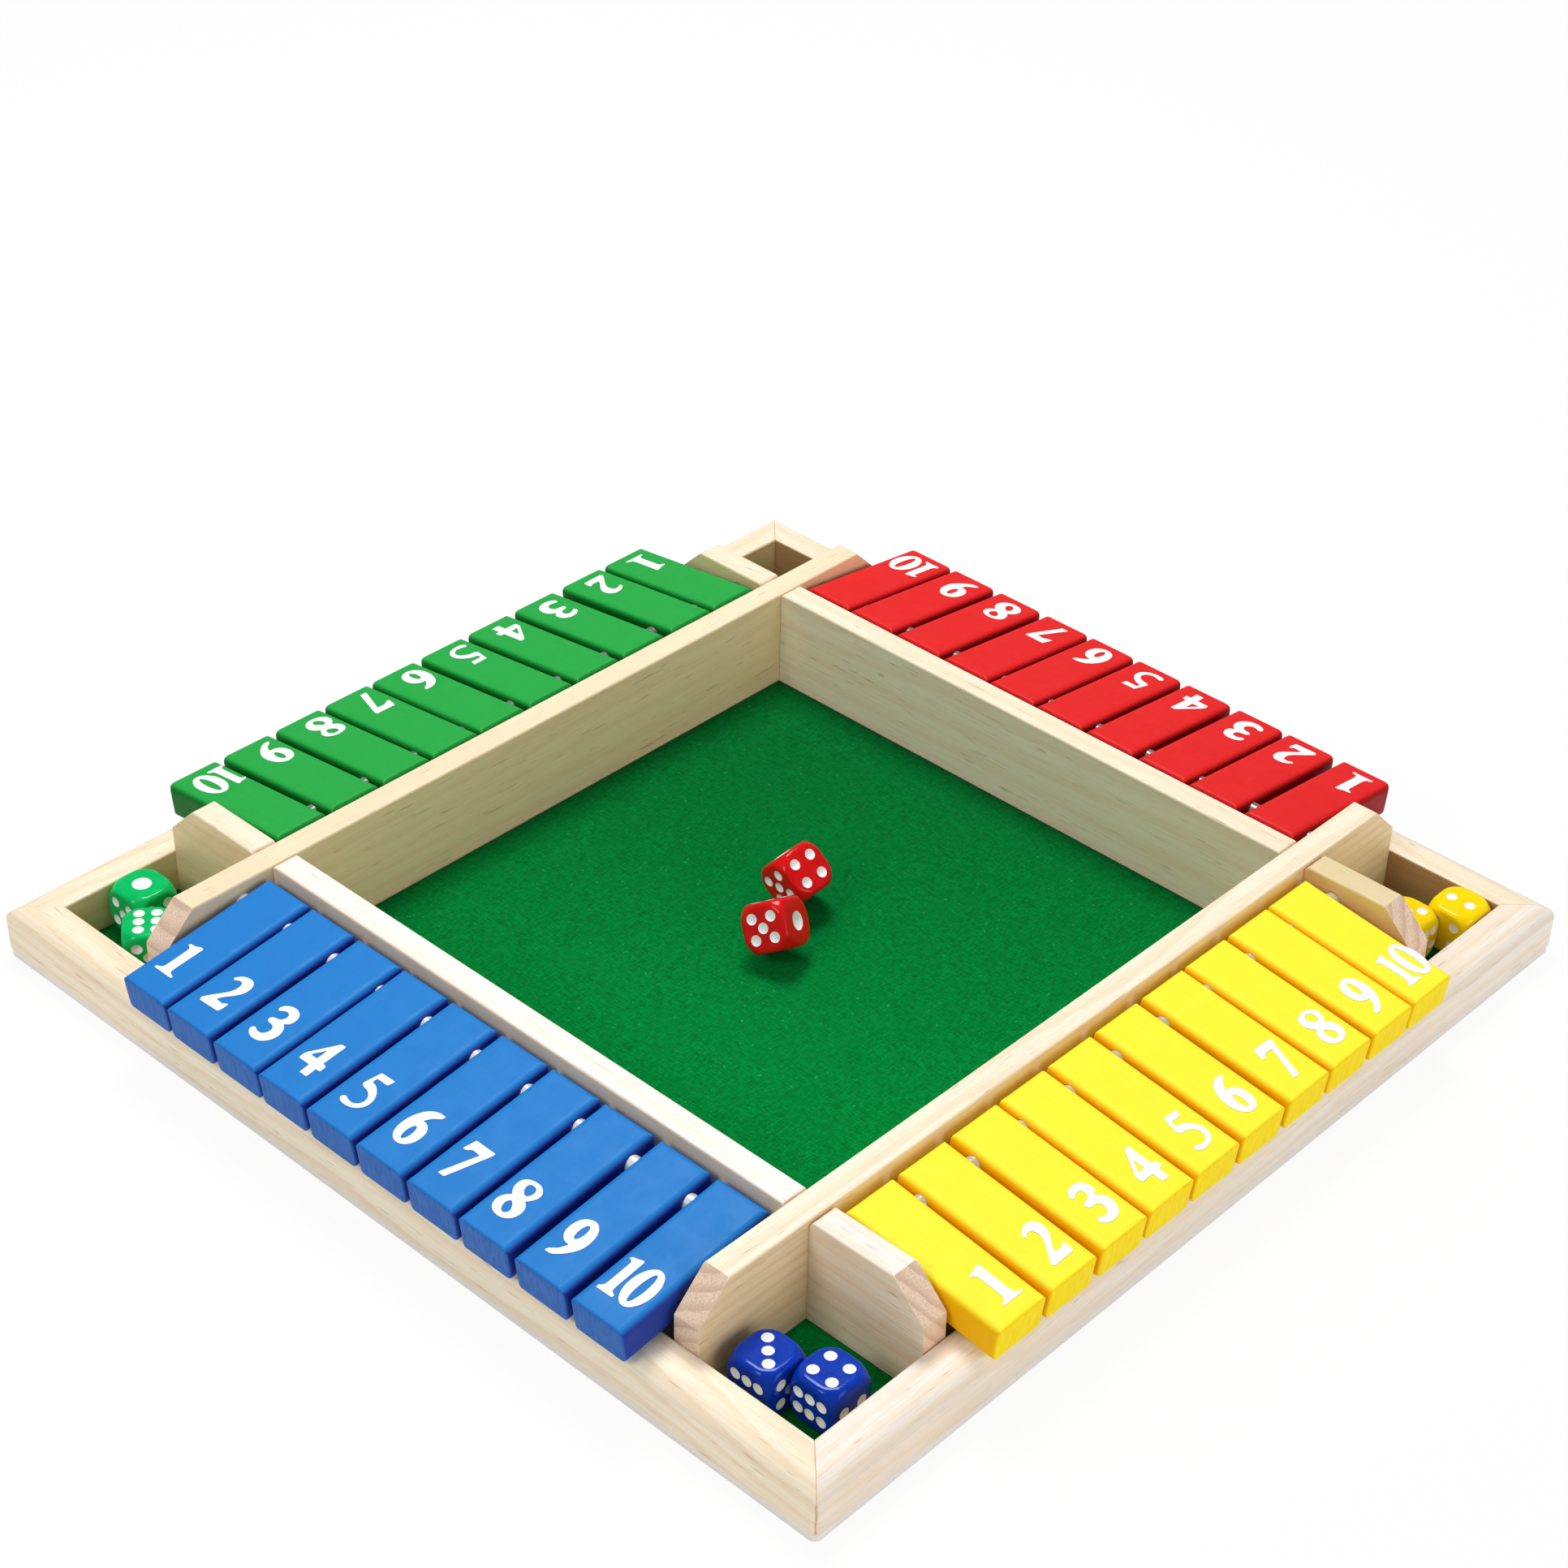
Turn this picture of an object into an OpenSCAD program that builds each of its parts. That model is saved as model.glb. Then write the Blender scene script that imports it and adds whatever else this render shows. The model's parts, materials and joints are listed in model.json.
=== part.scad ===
// Four-player shut the box: a square wooden board with a felt pit in the middle,
// a row of ten flip-over number tiles on each side, a dice compartment in each
// corner, and four pairs of dice. Millimetres, +Z up, origin at the middle of
// the underside. The blue row is at the front (-Y), then anticlockwise yellow
// (+X), red (+Y) and green (-X). Each row counts 1 to 10 from its player's left.

/* [Tiles] */
// Width of one number tile
tile_w = 17.6; // [14:0.1:20]
// Thickness of a tile
tile_t = 10.8; // [9:0.2:12.4]
// Mean gap between neighbouring tiles
tile_gap = 0.9; // [0.6:0.1:3]
// Room for a row to slide at each of its ends
row_end_gap = 1.7; // [1:0.05:4]
// Radius along a tile's four long edges
tile_round = 2.6; // [1:0.1:3]
// Radius around a tile's outer end
tile_end_round = 0.9; // [0.4:0.1:2]
// Radius around a tile's inner end, which turns close to the pit wall
tile_root_round = 2.2; // [0.4:0.1:2.4]
// Radius of a tile's four corners, seen on its face
tile_corner_round = 1.4; // [0.4:0.1:3]
// How far the tiles stand out past the side of the board
tile_overhang = 2.6; // [1:0.2:6]
// Gap left between a resting tile and the rounded edge of the rail
tile_rest_gap = 0.2; // [0.05:0.05:0.3]

/* [Rods] */
// Diameter of the steel rods that the tiles turn on
rod_d = 5; // [3:0.25:5.5]
// Running gap between a rod and a tile's bore, all round
rod_run_gap = 0.1; // [0.03:0.01:0.1]
// Gap between a rod and its seat in the wood, all round
rod_seat_gap = 0.03; // [0.01:0.01:0.08]
// Length of rod held in the wood at each end
rod_seat = 4; // [2:0.5:6]
// Height of a tile's top face above the rod's axis
rod_depth = 4; // [3.2:0.1:5]
// Distance from a tile's inner end to the rod's axis
rod_setback = 8.4; // [7:0.1:12]
// Least gap between a turning tile's inner end and the pit wall
swing_gap = 0.95; // [0.8:0.05:3]
// Height of the pit walls' top above the rod's axis
rod_drop = 6.4; // [4.2:0.1:8]

/* [Frame] */
// Thickness of the base board
base_t = 2.5; // [2:0.25:5]
// Radius of the board's four upright corners
corner_round = 2; // [1:0.5:4]
// How far the base board stands back under the rails
base_inset = 0.3; // [0.1:0.1:1]
// Width of the outer rails
rail_w = 12; // [9:0.5:16]
// Height of the outer rails above the base board
rail_h = 13.5; // [11:0.5:16]
// Radius on a rail's outer top edge
rail_round = 5.5; // [1.5:0.25:6]
// Radius on a rail's inner top edge
rail_inner_round = 0.8; // [0.4:0.1:2]
// Width of the trough below the tiles, which is also the compartments' width
trough_w = 36.25; // [32:0.25:42]

/* [Walls] */
// Thickness of the long partitions, the pit walls and the corner stubs
wall_t = 8; // [7:0.25:12]
// Height of those walls above the base board
wall_h = 31.2; // [28:0.1:36]
// Radius along the walls' top edges
wall_round = 0.8; // [0.4:0.1:1.5]
// Radius on a pit wall's top where it butts against a long partition
butt_round = 1.4; // [0.6:0.1:3]
// Radius on a corner stub's top where it meets a long partition
stub_round = 2.6; // [0.6:0.1:4]
// How far the sloping cut at a wall's end reaches back along its top
slope_run = 10; // [5:0.5:14]
// How far the sloping cut at a wall's end comes down
slope_drop = 10; // [5:0.1:12]

/* [Felt] */
// Thickness of the felt
felt_t = 0.5; // [0.3:0.1:1]
// Gap between the felt's edge and the wood around it
felt_gap = 0.4; // [0.1:0.1:1]

/* [Dice] */
// Side of a die
die_size = 14; // [12:0.25:14.5]
// Diameter of the ball that rounds off a die's corners
die_ball = 19.6; // [18.8:0.1:20]
// Diameter of a pip
pip_d = 3.1; // [2:0.1:3.2]
// Diameter of the single pip on the one face
one_pip_d = 5.4; // [3:0.1:6]
// Depth of the pips
pip_depth = 0.6; // [0.3:0.1:0.9]
// Distance of the corner pips from a face's middle lines
pip_place = 2.95; // [2.4:0.05:3.1]
// Distance of the six face's end pips from its short middle line
six_long = 3.6; // [3.5:0.05:3.8]
// Distance of the six face's rows from its long middle line
six_short = 2.35; // [2:0.05:2.6]
// Least gap between two dice that lie side by side
die_gap = 0.3; // [0.2:0.1:1]
// Gap between a die caught in mid roll and the felt
roll_gap = 0.1; // [0.05:0.05:0.3]

/* [Hidden] */
$fn = 48;
cut = 1;              // overshoot of a cutting tool past the face it cuts
tile_count = 10;
COLOURS = ["blue", "yellow", "red", "green"];

// The gaps along each row as parts of its free play: the tiles have slid a little
// on their rods, so that no two gaps are quite alike
TILE_GAPS = [
    [12, 4, 10, 2, 9, 9, 9, 10, 17, 15, 18],
    [11, 11, 15, 5, 8, 11, 14, 6, 10, 2, 22],
    [28, 18, 5, 14, 9, 4, 3, 12, 11, 2, 9],
    [9, 5, 22, 12, 10, 12, 2, 5, 10, 11, 17]
];

TILE_PAINT = [[0.24, 0.53, 0.84], [1, 0.94, 0.2], [0.92, 0.2, 0.2], [0.2, 0.68, 0.3]];
DIE_PAINT = [[0.08, 0.24, 0.75], [1, 0.86, 0], [0.84, 0.1, 0.14], [0, 0.78, 0.4]];
RAILS = ["rail_front", "rail_right", "rail_back", "rail_left"];
PARTITIONS = ["long_partition_right", "long_partition_left"];
PIT_WALLS = ["pit_wall_front", "pit_wall_back"];
TILES = [for (c = COLOURS) for (n = [1 : tile_count]) str(c, "_tile_", n)];
DICE = [for (c = COLOURS) for (n = [1 : 2]) str(c, "_die_", n)];

// Plan, measured out from the middle of the board
row_play = (tile_count - 1) * tile_gap + 2 * row_end_gap;
pit_half = (tile_count * tile_w + row_play) / 2;
wall_out = pit_half + wall_t;
rail_in = wall_out + trough_w;
board_half = rail_in + rail_w;
rod_len = 2 * (pit_half + rod_seat);

// Heights above the underside
wall_top = base_t + wall_h;
rail_top = base_t + rail_h;
felt_top = base_t + felt_t;
rod_z = wall_top - rod_drop;

// Where the rod lies: far enough from the pit wall for the tile's inner corner
rod_r = rod_d / 2;
rod_out = wall_out + norm([rod_setback, rod_depth]) + swing_gap;

// A resting tile leans down onto the rail's rounded outer edge
edge_out = board_half - rail_round - rod_out;
edge_down = rod_z - (rail_top - rail_round);
under_rod = tile_t - rod_depth;
rest_reach = under_rod + tile_rest_gap + rail_round;
rest_lean = acos(rest_reach / norm([edge_out, edge_down])) - atan2(edge_out, edge_down);
tile_out = board_half + tile_overhang - rod_out;
tile_len = rod_setback + (tile_out - rod_depth * sin(rest_lean)) / cos(rest_lean);

// Places of the dice. In a corner compartment a die's middle is measured in from
// the two rails; in the pit the dice are caught in mid roll, on edge and on a corner.
die_half = die_size / 2;
die_reach = die_ball / 2;
lying_z = felt_top + die_half;
rolling_z = felt_top + die_reach + roll_gap;
green_back = [rail_in - die_half - 0.3, rail_in - die_half - 12.7];
green_step = die_half + die_reach + die_gap;
green_bearing = 32;
yellow_corner = [rail_in - die_half - 0.6, rail_in - die_half - 0.4];
DIE_PLACE = [
    [rail_in - 3 * die_half - die_gap - 4.1, -(rail_in - die_half - 4.6), lying_z],
    [rail_in - die_half - 4.1, -(rail_in - die_half - 10.4), lying_z],
    [yellow_corner[0] - 8, yellow_corner[1] - die_size - die_gap, lying_z],
    [yellow_corner[0], yellow_corner[1], lying_z],
    [-11.2, 14.2, rolling_z],
    [0.3, -6.4, rolling_z],
    [-green_back[0], -green_back[1], lying_z],
    [-green_back[0] + green_step * cos(green_bearing),
        -green_back[1] - green_step * sin(green_bearing), lying_z]
];
DIE_TURN = [
    [0, 180, 0], [0, 0, 0],
    [0, 180, 90], [0, -90, 90],
    [42.9, -5.7, 89.4], [150.3, 24.9, 101.6],
    [90, 0, 90], [-90, 0, 141]
];

// The sum of a list's items up to and with the one numbered last
function sum_to(list, last) = last < 0 ? 0 : list[last] + sum_to(list, last - 1);

// The left side of tile n, once the tiles and gaps before it are counted
function tile_left(row, n) = (n - 1) * tile_w - pit_half
    + row_play * sum_to(TILE_GAPS[row], n - 1) / sum_to(TILE_GAPS[row], tile_count);

// ---- outlines ----

// A rectangle with all four corners rounded
module soft_rect(w, h, r) {
    translate([r, 0]) square([w - 2 * r, h]);
    translate([0, r]) square([w, h - 2 * r]);
    for (x = [r, w - r], y = [r, h - r]) translate([x, y]) circle(r);
}

// A rectangle whose two top corners have their own radii
module soft_top(w, h, r_left, r_right) {
    r_max = max(r_left, r_right);
    square([w, h - r_max]);
    translate([r_left, 0]) square([w - r_left - r_right, h]);
    square([w / 2, h - r_left]);
    translate([w / 2, 0]) square([w / 2, h - r_right]);
    translate([r_left, h - r_left]) circle(r_left);
    translate([w - r_right, h - r_right]) circle(r_right);
}

// Extrudes an outline of (distance out, height) along a wall that runs in X
module along_x(length) {
    translate([length / 2, 0, 0]) rotate([90, 0, -90]) linear_extrude(length) children();
}

// Extrudes an outline of (X, height) through a thickness that runs in Y
module through_y(depth) {
    rotate([90, 0, 0]) linear_extrude(depth) children();
}

// ---- frame ----

module base_board() {
    side = 2 * (board_half - base_inset);
    color([0.93, 0.87, 0.75])
        translate([-side / 2, -side / 2, 0])
            linear_extrude(base_t) soft_rect(side, side, corner_round);
}

// One mitred rail, drawn at the front and turned to its side
module rail(quarter) {
    color([0.95, 0.87, 0.72])
        rotate([0, 0, 90 * quarter])
            translate([0, 0, base_t])
                intersection() {
                    translate([0, -rail_in, 0])
                        along_x(2 * board_half + 2 * cut)
                            soft_top(rail_w, rail_h, rail_inner_round, rail_round);
                    linear_extrude(rail_h)
                        polygon([
                            [-rail_in, -rail_in], [-board_half, -board_half],
                            [board_half, -board_half], [rail_in, -rail_in]
                        ]);
                    translate([-board_half, -board_half, 0])
                        linear_extrude(rail_h)
                            soft_rect(2 * board_half, 2 * board_half, corner_round);
                }
}

// The blind hole that seats a rod's end, drilled from the face at x = 0 towards +X
module rod_hole() {
    translate([-cut, 0, 0]) rotate([0, 90, 0])
        cylinder(r = rod_r + rod_seat_gap, h = cut + rod_seat + rod_seat_gap);
}

// A full-width partition with both ends cut to a slope. Side 1 is right, -1 is left.
module long_partition(side) {
    low = wall_h - slope_drop;
    color([0.94, 0.87, 0.74])
        translate([side * (pit_half + wall_t / 2), 0, base_t])
            difference() {
                rotate([0, 0, 90]) intersection() {
                    translate([0, wall_t / 2, 0]) through_y(wall_t)
                        polygon([
                            [-rail_in, 0], [rail_in, 0], [rail_in, low],
                            [rail_in - slope_run, wall_h],
                            [slope_run - rail_in, wall_h], [-rail_in, low]
                        ]);
                    translate([0, wall_t / 2, 0])
                        along_x(2 * rail_in) soft_top(wall_t, wall_h, wall_round, wall_round);
                }
                for (y = [-rod_out, rod_out])
                    translate([-side * wall_t / 2, y, rod_z - base_t])
                        mirror([side > 0 ? 0 : 1, 0, 0]) rod_hole();
            }
}

// A pit wall between the two long partitions. Side -1 is front, 1 is back.
module pit_wall(side) {
    length = 2 * pit_half;
    color([0.94, 0.87, 0.74])
        translate([0, side * (pit_half + wall_t / 2), base_t])
            intersection() {
                translate([0, wall_t / 2, 0])
                    along_x(length) soft_top(wall_t, wall_h, wall_round, wall_round);
                translate([-pit_half, wall_t / 2, 0])
                    through_y(wall_t) soft_top(length, wall_h, butt_round, butt_round);
            }
}

// A short wall from a long partition out to the rail, drawn in the corner at +X +Y
module corner_stub() {
    low = wall_h - slope_drop;
    translate([wall_out, pit_half + wall_t, base_t])
        difference() {
            intersection() {
                through_y(wall_t)
                    difference() {
                        soft_top(trough_w, wall_h, stub_round, wall_round);
                        polygon([
                            [trough_w - slope_run, wall_h], [trough_w, low],
                            [trough_w + cut, low], [trough_w + cut, wall_h + cut],
                            [trough_w - slope_run, wall_h + cut]
                        ]);
                    }
                translate([trough_w / 2, 0, 0])
                    along_x(trough_w) soft_top(wall_t, wall_h, wall_round, wall_round);
            }
            translate([rod_out - wall_out, -wall_t, rod_z - base_t])
                rotate([0, 0, 90]) rod_hole();
        }
}

module corner_stubs() {
    color([0.95, 0.88, 0.76])
        for (sx = [0, 1], sy = [0, 1])
            mirror([sx, 0, 0]) mirror([0, sy, 0]) corner_stub();
}

// Five sheets of felt: the pit's floor and the four compartments' floors
module felt_lining() {
    pit = pit_half - felt_gap;
    nook = trough_w - 2 * felt_gap;
    color([0, 0.5, 0.22])
        translate([0, 0, base_t]) {
            translate([-pit, -pit, 0]) cube([2 * pit, 2 * pit, felt_t]);
            for (sx = [0, 1], sy = [0, 1])
                mirror([sx, 0, 0]) mirror([0, sy, 0])
                    translate([wall_out + felt_gap, wall_out + felt_gap, 0])
                        cube([nook, nook, felt_t]);
        }
}

// ---- moving tiles ----

module tile_rods() {
    color([0.8, 0.8, 0.82])
        for (quarter = [0 : 3])
            rotate([0, 0, 90 * quarter])
                translate([-rod_len / 2, -rod_out, rod_z])
                    rotate([0, 90, 0]) cylinder(r = rod_r, h = rod_len);
}

// A tile seen from its side, from the rounded inner end to the crisper outer end
module tile_profile() {
    root_len = 2 * tile_root_round + tile_end_round;
    soft_rect(root_len, tile_t, tile_root_round);
    translate([tile_root_round, 0])
        soft_rect(tile_len - tile_root_round, tile_t, tile_end_round);
}

// A tile about its own rod: the rod's axis is X, and the tile reaches out to -Y
module tile_shape() {
    difference() {
        translate([0, rod_setback, rod_depth - tile_t])
            intersection() {
                through_y(tile_len) soft_rect(tile_w, tile_t, tile_round);
                translate([tile_w / 2, 0, 0]) along_x(tile_w) tile_profile();
                translate([0, -tile_len, 0])
                    linear_extrude(tile_t) soft_rect(tile_w, tile_len, tile_corner_round);
            }
        translate([-cut, 0, 0]) rotate([0, 90, 0])
            cylinder(r = rod_r + rod_run_gap, h = tile_w + 2 * cut);
    }
}

// Tile n of a row, leaning on the rail as it does when it is open
module tile(row, n) {
    color(TILE_PAINT[row])
        rotate([0, 0, 90 * row])
            translate([tile_left(row, n), -rod_out, rod_z])
                rotate([rest_lean, 0, 0]) tile_shape();
}

// ---- dice ----

function pip_places(n) =
    n == 1 ? [[0, 0]] :
    n == 2 ? [[-pip_place, 0], [pip_place, 0]] :
    n == 3 ? [[-pip_place, pip_place], [0, 0], [pip_place, -pip_place]] :
    n == 4 ? [for (x = [-1, 1], y = [-1, 1]) pip_place * [x, y]] :
    n == 5 ? concat(pip_places(4), [[0, 0]]) :
    [for (x = [-1 : 1], y = [-1, 1]) [six_long * x, six_short * y]];

// The dimples of one face, which lies on top
module face_pips(n) {
    d = n == 1 ? one_pip_d : pip_d;
    ball_r = (d * d / 4 + pip_depth * pip_depth) / (2 * pip_depth);
    for (p = pip_places(n))
        translate([p[0], p[1], die_half + ball_r - pip_depth]) sphere(ball_r);
}

// A die with its four on top, its six to -Y and its two to +X
module die_shape() {
    difference() {
        intersection() {
            cube(die_size, center = true);
            sphere(d = die_ball, $fn = 96);
        }
        face_pips(4);
        rotate([180, 0, 0]) face_pips(3);
        rotate([90, 0, 0]) face_pips(6);
        rotate([-90, 0, 0]) face_pips(1);
        rotate([90, 0, 90]) face_pips(2);
        rotate([90, 0, -90]) face_pips(5);
    }
}

module die(row, n) {
    i = 2 * row + n - 1;
    color(DIE_PAINT[row]) translate(DIE_PLACE[i]) rotate(DIE_TURN[i]) die_shape();
}

// ---- the parts ----

base_board();
felt_lining();
for (i = [0 : 3]) rail(i);
for (i = [0, 1]) long_partition(1 - 2 * i);
for (i = [0, 1]) pit_wall(2 * i - 1);
corner_stubs();
tile_rods();
for (row = [0 : 3], n = [1 : tile_count])
    tile(row, n);
for (row = [0 : 3], n = [1, 2])
    die(row, n);
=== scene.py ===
# %% [markdown]
# # A four-player shut the box board
#
# Ten numbered tiles on each of four sides turn over on a steel rod, and the dice are rolled in the
# felt pit in the middle. The construction comes ready as a fixed frame: every board, tile and die
# sits where the maker's drawing puts it. This lesson only finishes it: pine, paint, ink, felt,
# steel and moulded plastic, each on a mesh of its own that rides on the piece it belongs to.

# %% Load the frame
import json
import math

import bmesh
import bpy
import numpy as np
from mathutils import Euler, Matrix, Vector


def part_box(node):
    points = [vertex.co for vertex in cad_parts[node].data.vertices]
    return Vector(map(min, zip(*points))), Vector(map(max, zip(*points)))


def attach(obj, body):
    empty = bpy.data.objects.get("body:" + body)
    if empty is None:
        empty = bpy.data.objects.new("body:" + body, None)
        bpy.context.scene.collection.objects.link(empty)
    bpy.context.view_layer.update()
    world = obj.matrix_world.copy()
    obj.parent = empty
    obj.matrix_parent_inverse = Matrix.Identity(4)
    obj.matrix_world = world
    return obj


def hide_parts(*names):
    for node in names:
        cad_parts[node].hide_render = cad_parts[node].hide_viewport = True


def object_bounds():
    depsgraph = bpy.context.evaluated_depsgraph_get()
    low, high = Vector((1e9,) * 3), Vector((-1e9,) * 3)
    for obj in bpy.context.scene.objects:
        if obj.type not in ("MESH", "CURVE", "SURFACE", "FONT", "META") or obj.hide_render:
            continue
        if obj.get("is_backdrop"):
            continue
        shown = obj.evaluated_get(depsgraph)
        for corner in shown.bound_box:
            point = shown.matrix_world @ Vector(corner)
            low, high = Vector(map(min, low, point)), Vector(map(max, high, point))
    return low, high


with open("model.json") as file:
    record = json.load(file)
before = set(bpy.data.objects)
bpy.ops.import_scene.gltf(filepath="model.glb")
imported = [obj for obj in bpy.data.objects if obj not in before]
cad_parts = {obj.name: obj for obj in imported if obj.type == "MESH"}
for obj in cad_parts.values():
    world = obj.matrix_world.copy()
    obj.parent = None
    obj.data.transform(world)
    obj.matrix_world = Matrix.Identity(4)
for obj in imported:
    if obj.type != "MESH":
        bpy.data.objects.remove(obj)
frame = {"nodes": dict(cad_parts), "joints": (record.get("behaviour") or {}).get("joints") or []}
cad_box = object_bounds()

MM = 0.001
BOARD = "board"
ROWS = ("blue", "yellow", "red", "green")
TILES_IN_ROW = 10
joints = {joint["child"]: joint for joint in frame["joints"]}

# %% [markdown]
# ## Where the camera stands
#
# The board is seen from above one corner, a little under a metre away, with a long lens. The eye's
# place was worked out from the board's twelve-inch side and its corners in the picture. The picture
# was cut out of a larger frame, so the lens axis isn't at its middle: the small shift says where.

# %% Camera
PICTURE_SIDE = 1932        # pixels, both ways
FOCAL_LENGTH = 3904.97     # in the same pixels
AXIS_AT = (1068.3, 926.95)  # the pixel that the lens axis goes through
SENSOR = 36.0
EYE = Vector((0.46631, -0.50668, 0.53896))
GAZE = Vector((-0.54178, 0.62221, -0.56509)).normalized()
ROLL = math.radians(2.32)

level_right = GAZE.cross(Vector((0, 0, 1))).normalized()
level_up = level_right.cross(GAZE)
right = level_right * math.cos(ROLL) + level_up * math.sin(ROLL)
up = level_up * math.cos(ROLL) - level_right * math.sin(ROLL)

lens = bpy.data.cameras.new("camera")
lens.sensor_width = SENSOR
lens.lens = SENSOR * FOCAL_LENGTH / PICTURE_SIDE
lens.shift_x = 0.5 - AXIS_AT[0] / PICTURE_SIDE
lens.shift_y = AXIS_AT[1] / PICTURE_SIDE - 0.5
lens.clip_start = 0.01
camera = bpy.data.objects.new("camera", lens)
bpy.context.scene.collection.objects.link(camera)
camera.matrix_world = Matrix((
    (right.x, up.x, -GAZE.x, EYE.x),
    (right.y, up.y, -GAZE.y, EYE.y),
    (right.z, up.z, -GAZE.z, EYE.z),
    (0, 0, 0, 1),
))
bpy.context.scene.camera = camera
print("lens", round(lens.lens, 2), "mm, shift", round(lens.shift_x, 4), round(lens.shift_y, 4))

# %% [markdown]
# ## A small kit for shaders
#
# A finish is a chain of nodes. Writing `nodes.new` and `links.new` each time hides what the chain
# says, so one class adds a node a line, and a finish is such a chain that ends in a material.
# Colours are written from 0 to 255 as on a paint chart and turned into the linear values that
# shaders work in.

# %% Shader kit
def chart(red, green, blue):
    """A chart colour as linear RGBA."""
    def linear(c):
        c /= 255
        return c / 12.92 if c <= 0.04045 else ((c + 0.055) / 1.055) ** 2.4
    return (linear(red), linear(green), linear(blue), 1.0)


class Chain:
    """A node tree under construction. An input takes a value, or a socket to be linked to it."""

    def __init__(self, tree):
        self.tree = tree

    def set(self, socket, value):
        if isinstance(value, bpy.types.NodeSocket):
            self.tree.links.new(value, socket)
        else:
            socket.default_value = value

    def add(self, kind, inputs=None, **settings):
        node = self.tree.nodes.new(kind)
        for key, value in settings.items():
            setattr(node, key, value)
        for socket, value in (inputs or {}).items():
            self.set(node.inputs[socket], value)
        return node

    def math(self, operation, a, b=0.0):
        return self.add("ShaderNodeMath", {0: a, 1: b}, operation=operation).outputs[0]

    def times(self, a, b):
        return self.math("MULTIPLY", a, b)

    def vector(self, operation, a, b):
        return self.add("ShaderNodeVectorMath", {0: a, 1: b}, operation=operation).outputs[0]

    def join(self, x=0.0, y=0.0, z=0.0):
        return self.add("ShaderNodeCombineXYZ", {0: x, 1: y, 2: z}).outputs[0]


class Finish(Chain):
    """A material with a Principled shader. Its helpers return sockets."""

    def __init__(self, name, **shader_values):
        self.material = bpy.data.materials.new(name)
        self.material.use_nodes = True
        super().__init__(self.material.node_tree)
        self.shader = self.tree.nodes["Principled BSDF"]
        for socket, value in shader_values.items():
            self.set(self.shader.inputs[socket.replace("_", " ")], value)
        spot = self.add("ShaderNodeTexCoord").outputs
        self.here, self.normal = spot["Object"], spot["Normal"]

    def noise(self, per_metre, detail=2.0, roughness=0.5, at=None):
        """Noise at a place, as fine as its scale says, one number for all axes or one for each."""
        scale = per_metre if isinstance(per_metre, tuple) else (per_metre,) * 3
        spot = self.vector("MULTIPLY", self.here if at is None else at, scale)
        return self.add("ShaderNodeTexNoise", {
            "Vector": spot, "Scale": 1.0, "Detail": detail, "Roughness": roughness,
        }).outputs["Fac"]

    def between(self, value, low, high, to_low=0.0, to_high=1.0):
        """Maps low..high smoothly on to_low..to_high, and stops at both ends."""
        return self.add("ShaderNodeMapRange", {
            "Value": value, "From Min": low, "From Max": high, "To Min": to_low, "To Max": to_high,
        }, interpolation_type="SMOOTHSTEP").outputs["Result"]

    def blend(self, factor, a, b, way="MIX"):
        inputs = {0: factor, 6: a, 7: b}
        return self.add("ShaderNodeMix", inputs, data_type="RGBA", blend_type=way).outputs[2]

    def wash(self, under, colour, value, low, high, most=1.0):
        """A colour laid over another where a value is high, at most this strongly."""
        return self.blend(self.between(value, low, high, 0.0, most), under, colour)

    def split(self, vector):
        return self.add("ShaderNodeSeparateXYZ", {0: vector}).outputs

    def colour(self, value):
        self.set(self.shader.inputs["Base Color"], value)

    def roughness(self, value):
        self.set(self.shader.inputs["Roughness"], value)

    def relief(self, height, depth, strength=1.0):
        """Bump of a real depth, in metres."""
        bump = self.add("ShaderNodeBump", {"Height": height, "Distance": depth, "Strength": strength})
        self.set(self.shader.inputs["Normal"], bump.outputs[0])


print("chart white is", [round(c, 3) for c in chart(255, 255, 255)])

# %% [markdown]
# ## Pine
#
# The frame is planed pine, pale cream with a soft ring figure along each board, finer fibres, and a
# few brown flecks. A plank is a slice of a trunk, so the figure is made as the trunk makes it: rings
# round a pith that lies somewhere beside the board. Wherever the board is cut, the rings then show
# as they should, as long lines on a face and as arcs on an end. End grain drinks light, so faces
# that look along the grain are darker and pinker. That is read from the direction each face points.
# So is the painted shade on the upright faces inside the tray: a warmer, darker tone that stands in
# for the shadow and the bounced light there.

# %% Pine finish
PINE_PALE = chart(253, 240, 213)
PINE_LATE = chart(240, 212, 174)
PINE_FIBRE = chart(230, 206, 178)
PINE_FLECK = chart(190, 158, 126)
PINE_END = chart(246, 220, 194)
PINE_END_DARK = chart(196, 158, 132)
# Painted shade: a warmer, darker tone multiplied into the upright faces inside the tray
PINE_TRAY_SHADE = chart(249, 236, 212)    # times the tint: upright faces in the tray
TRAY_HALF = 138.0                   # mm from the middle to the rails' inner faces
RING_DRIFT = 26.0                   # mm by which the rings wander along a board
RING_WAVER = 2.6                    # mm by which they tremble


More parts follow.
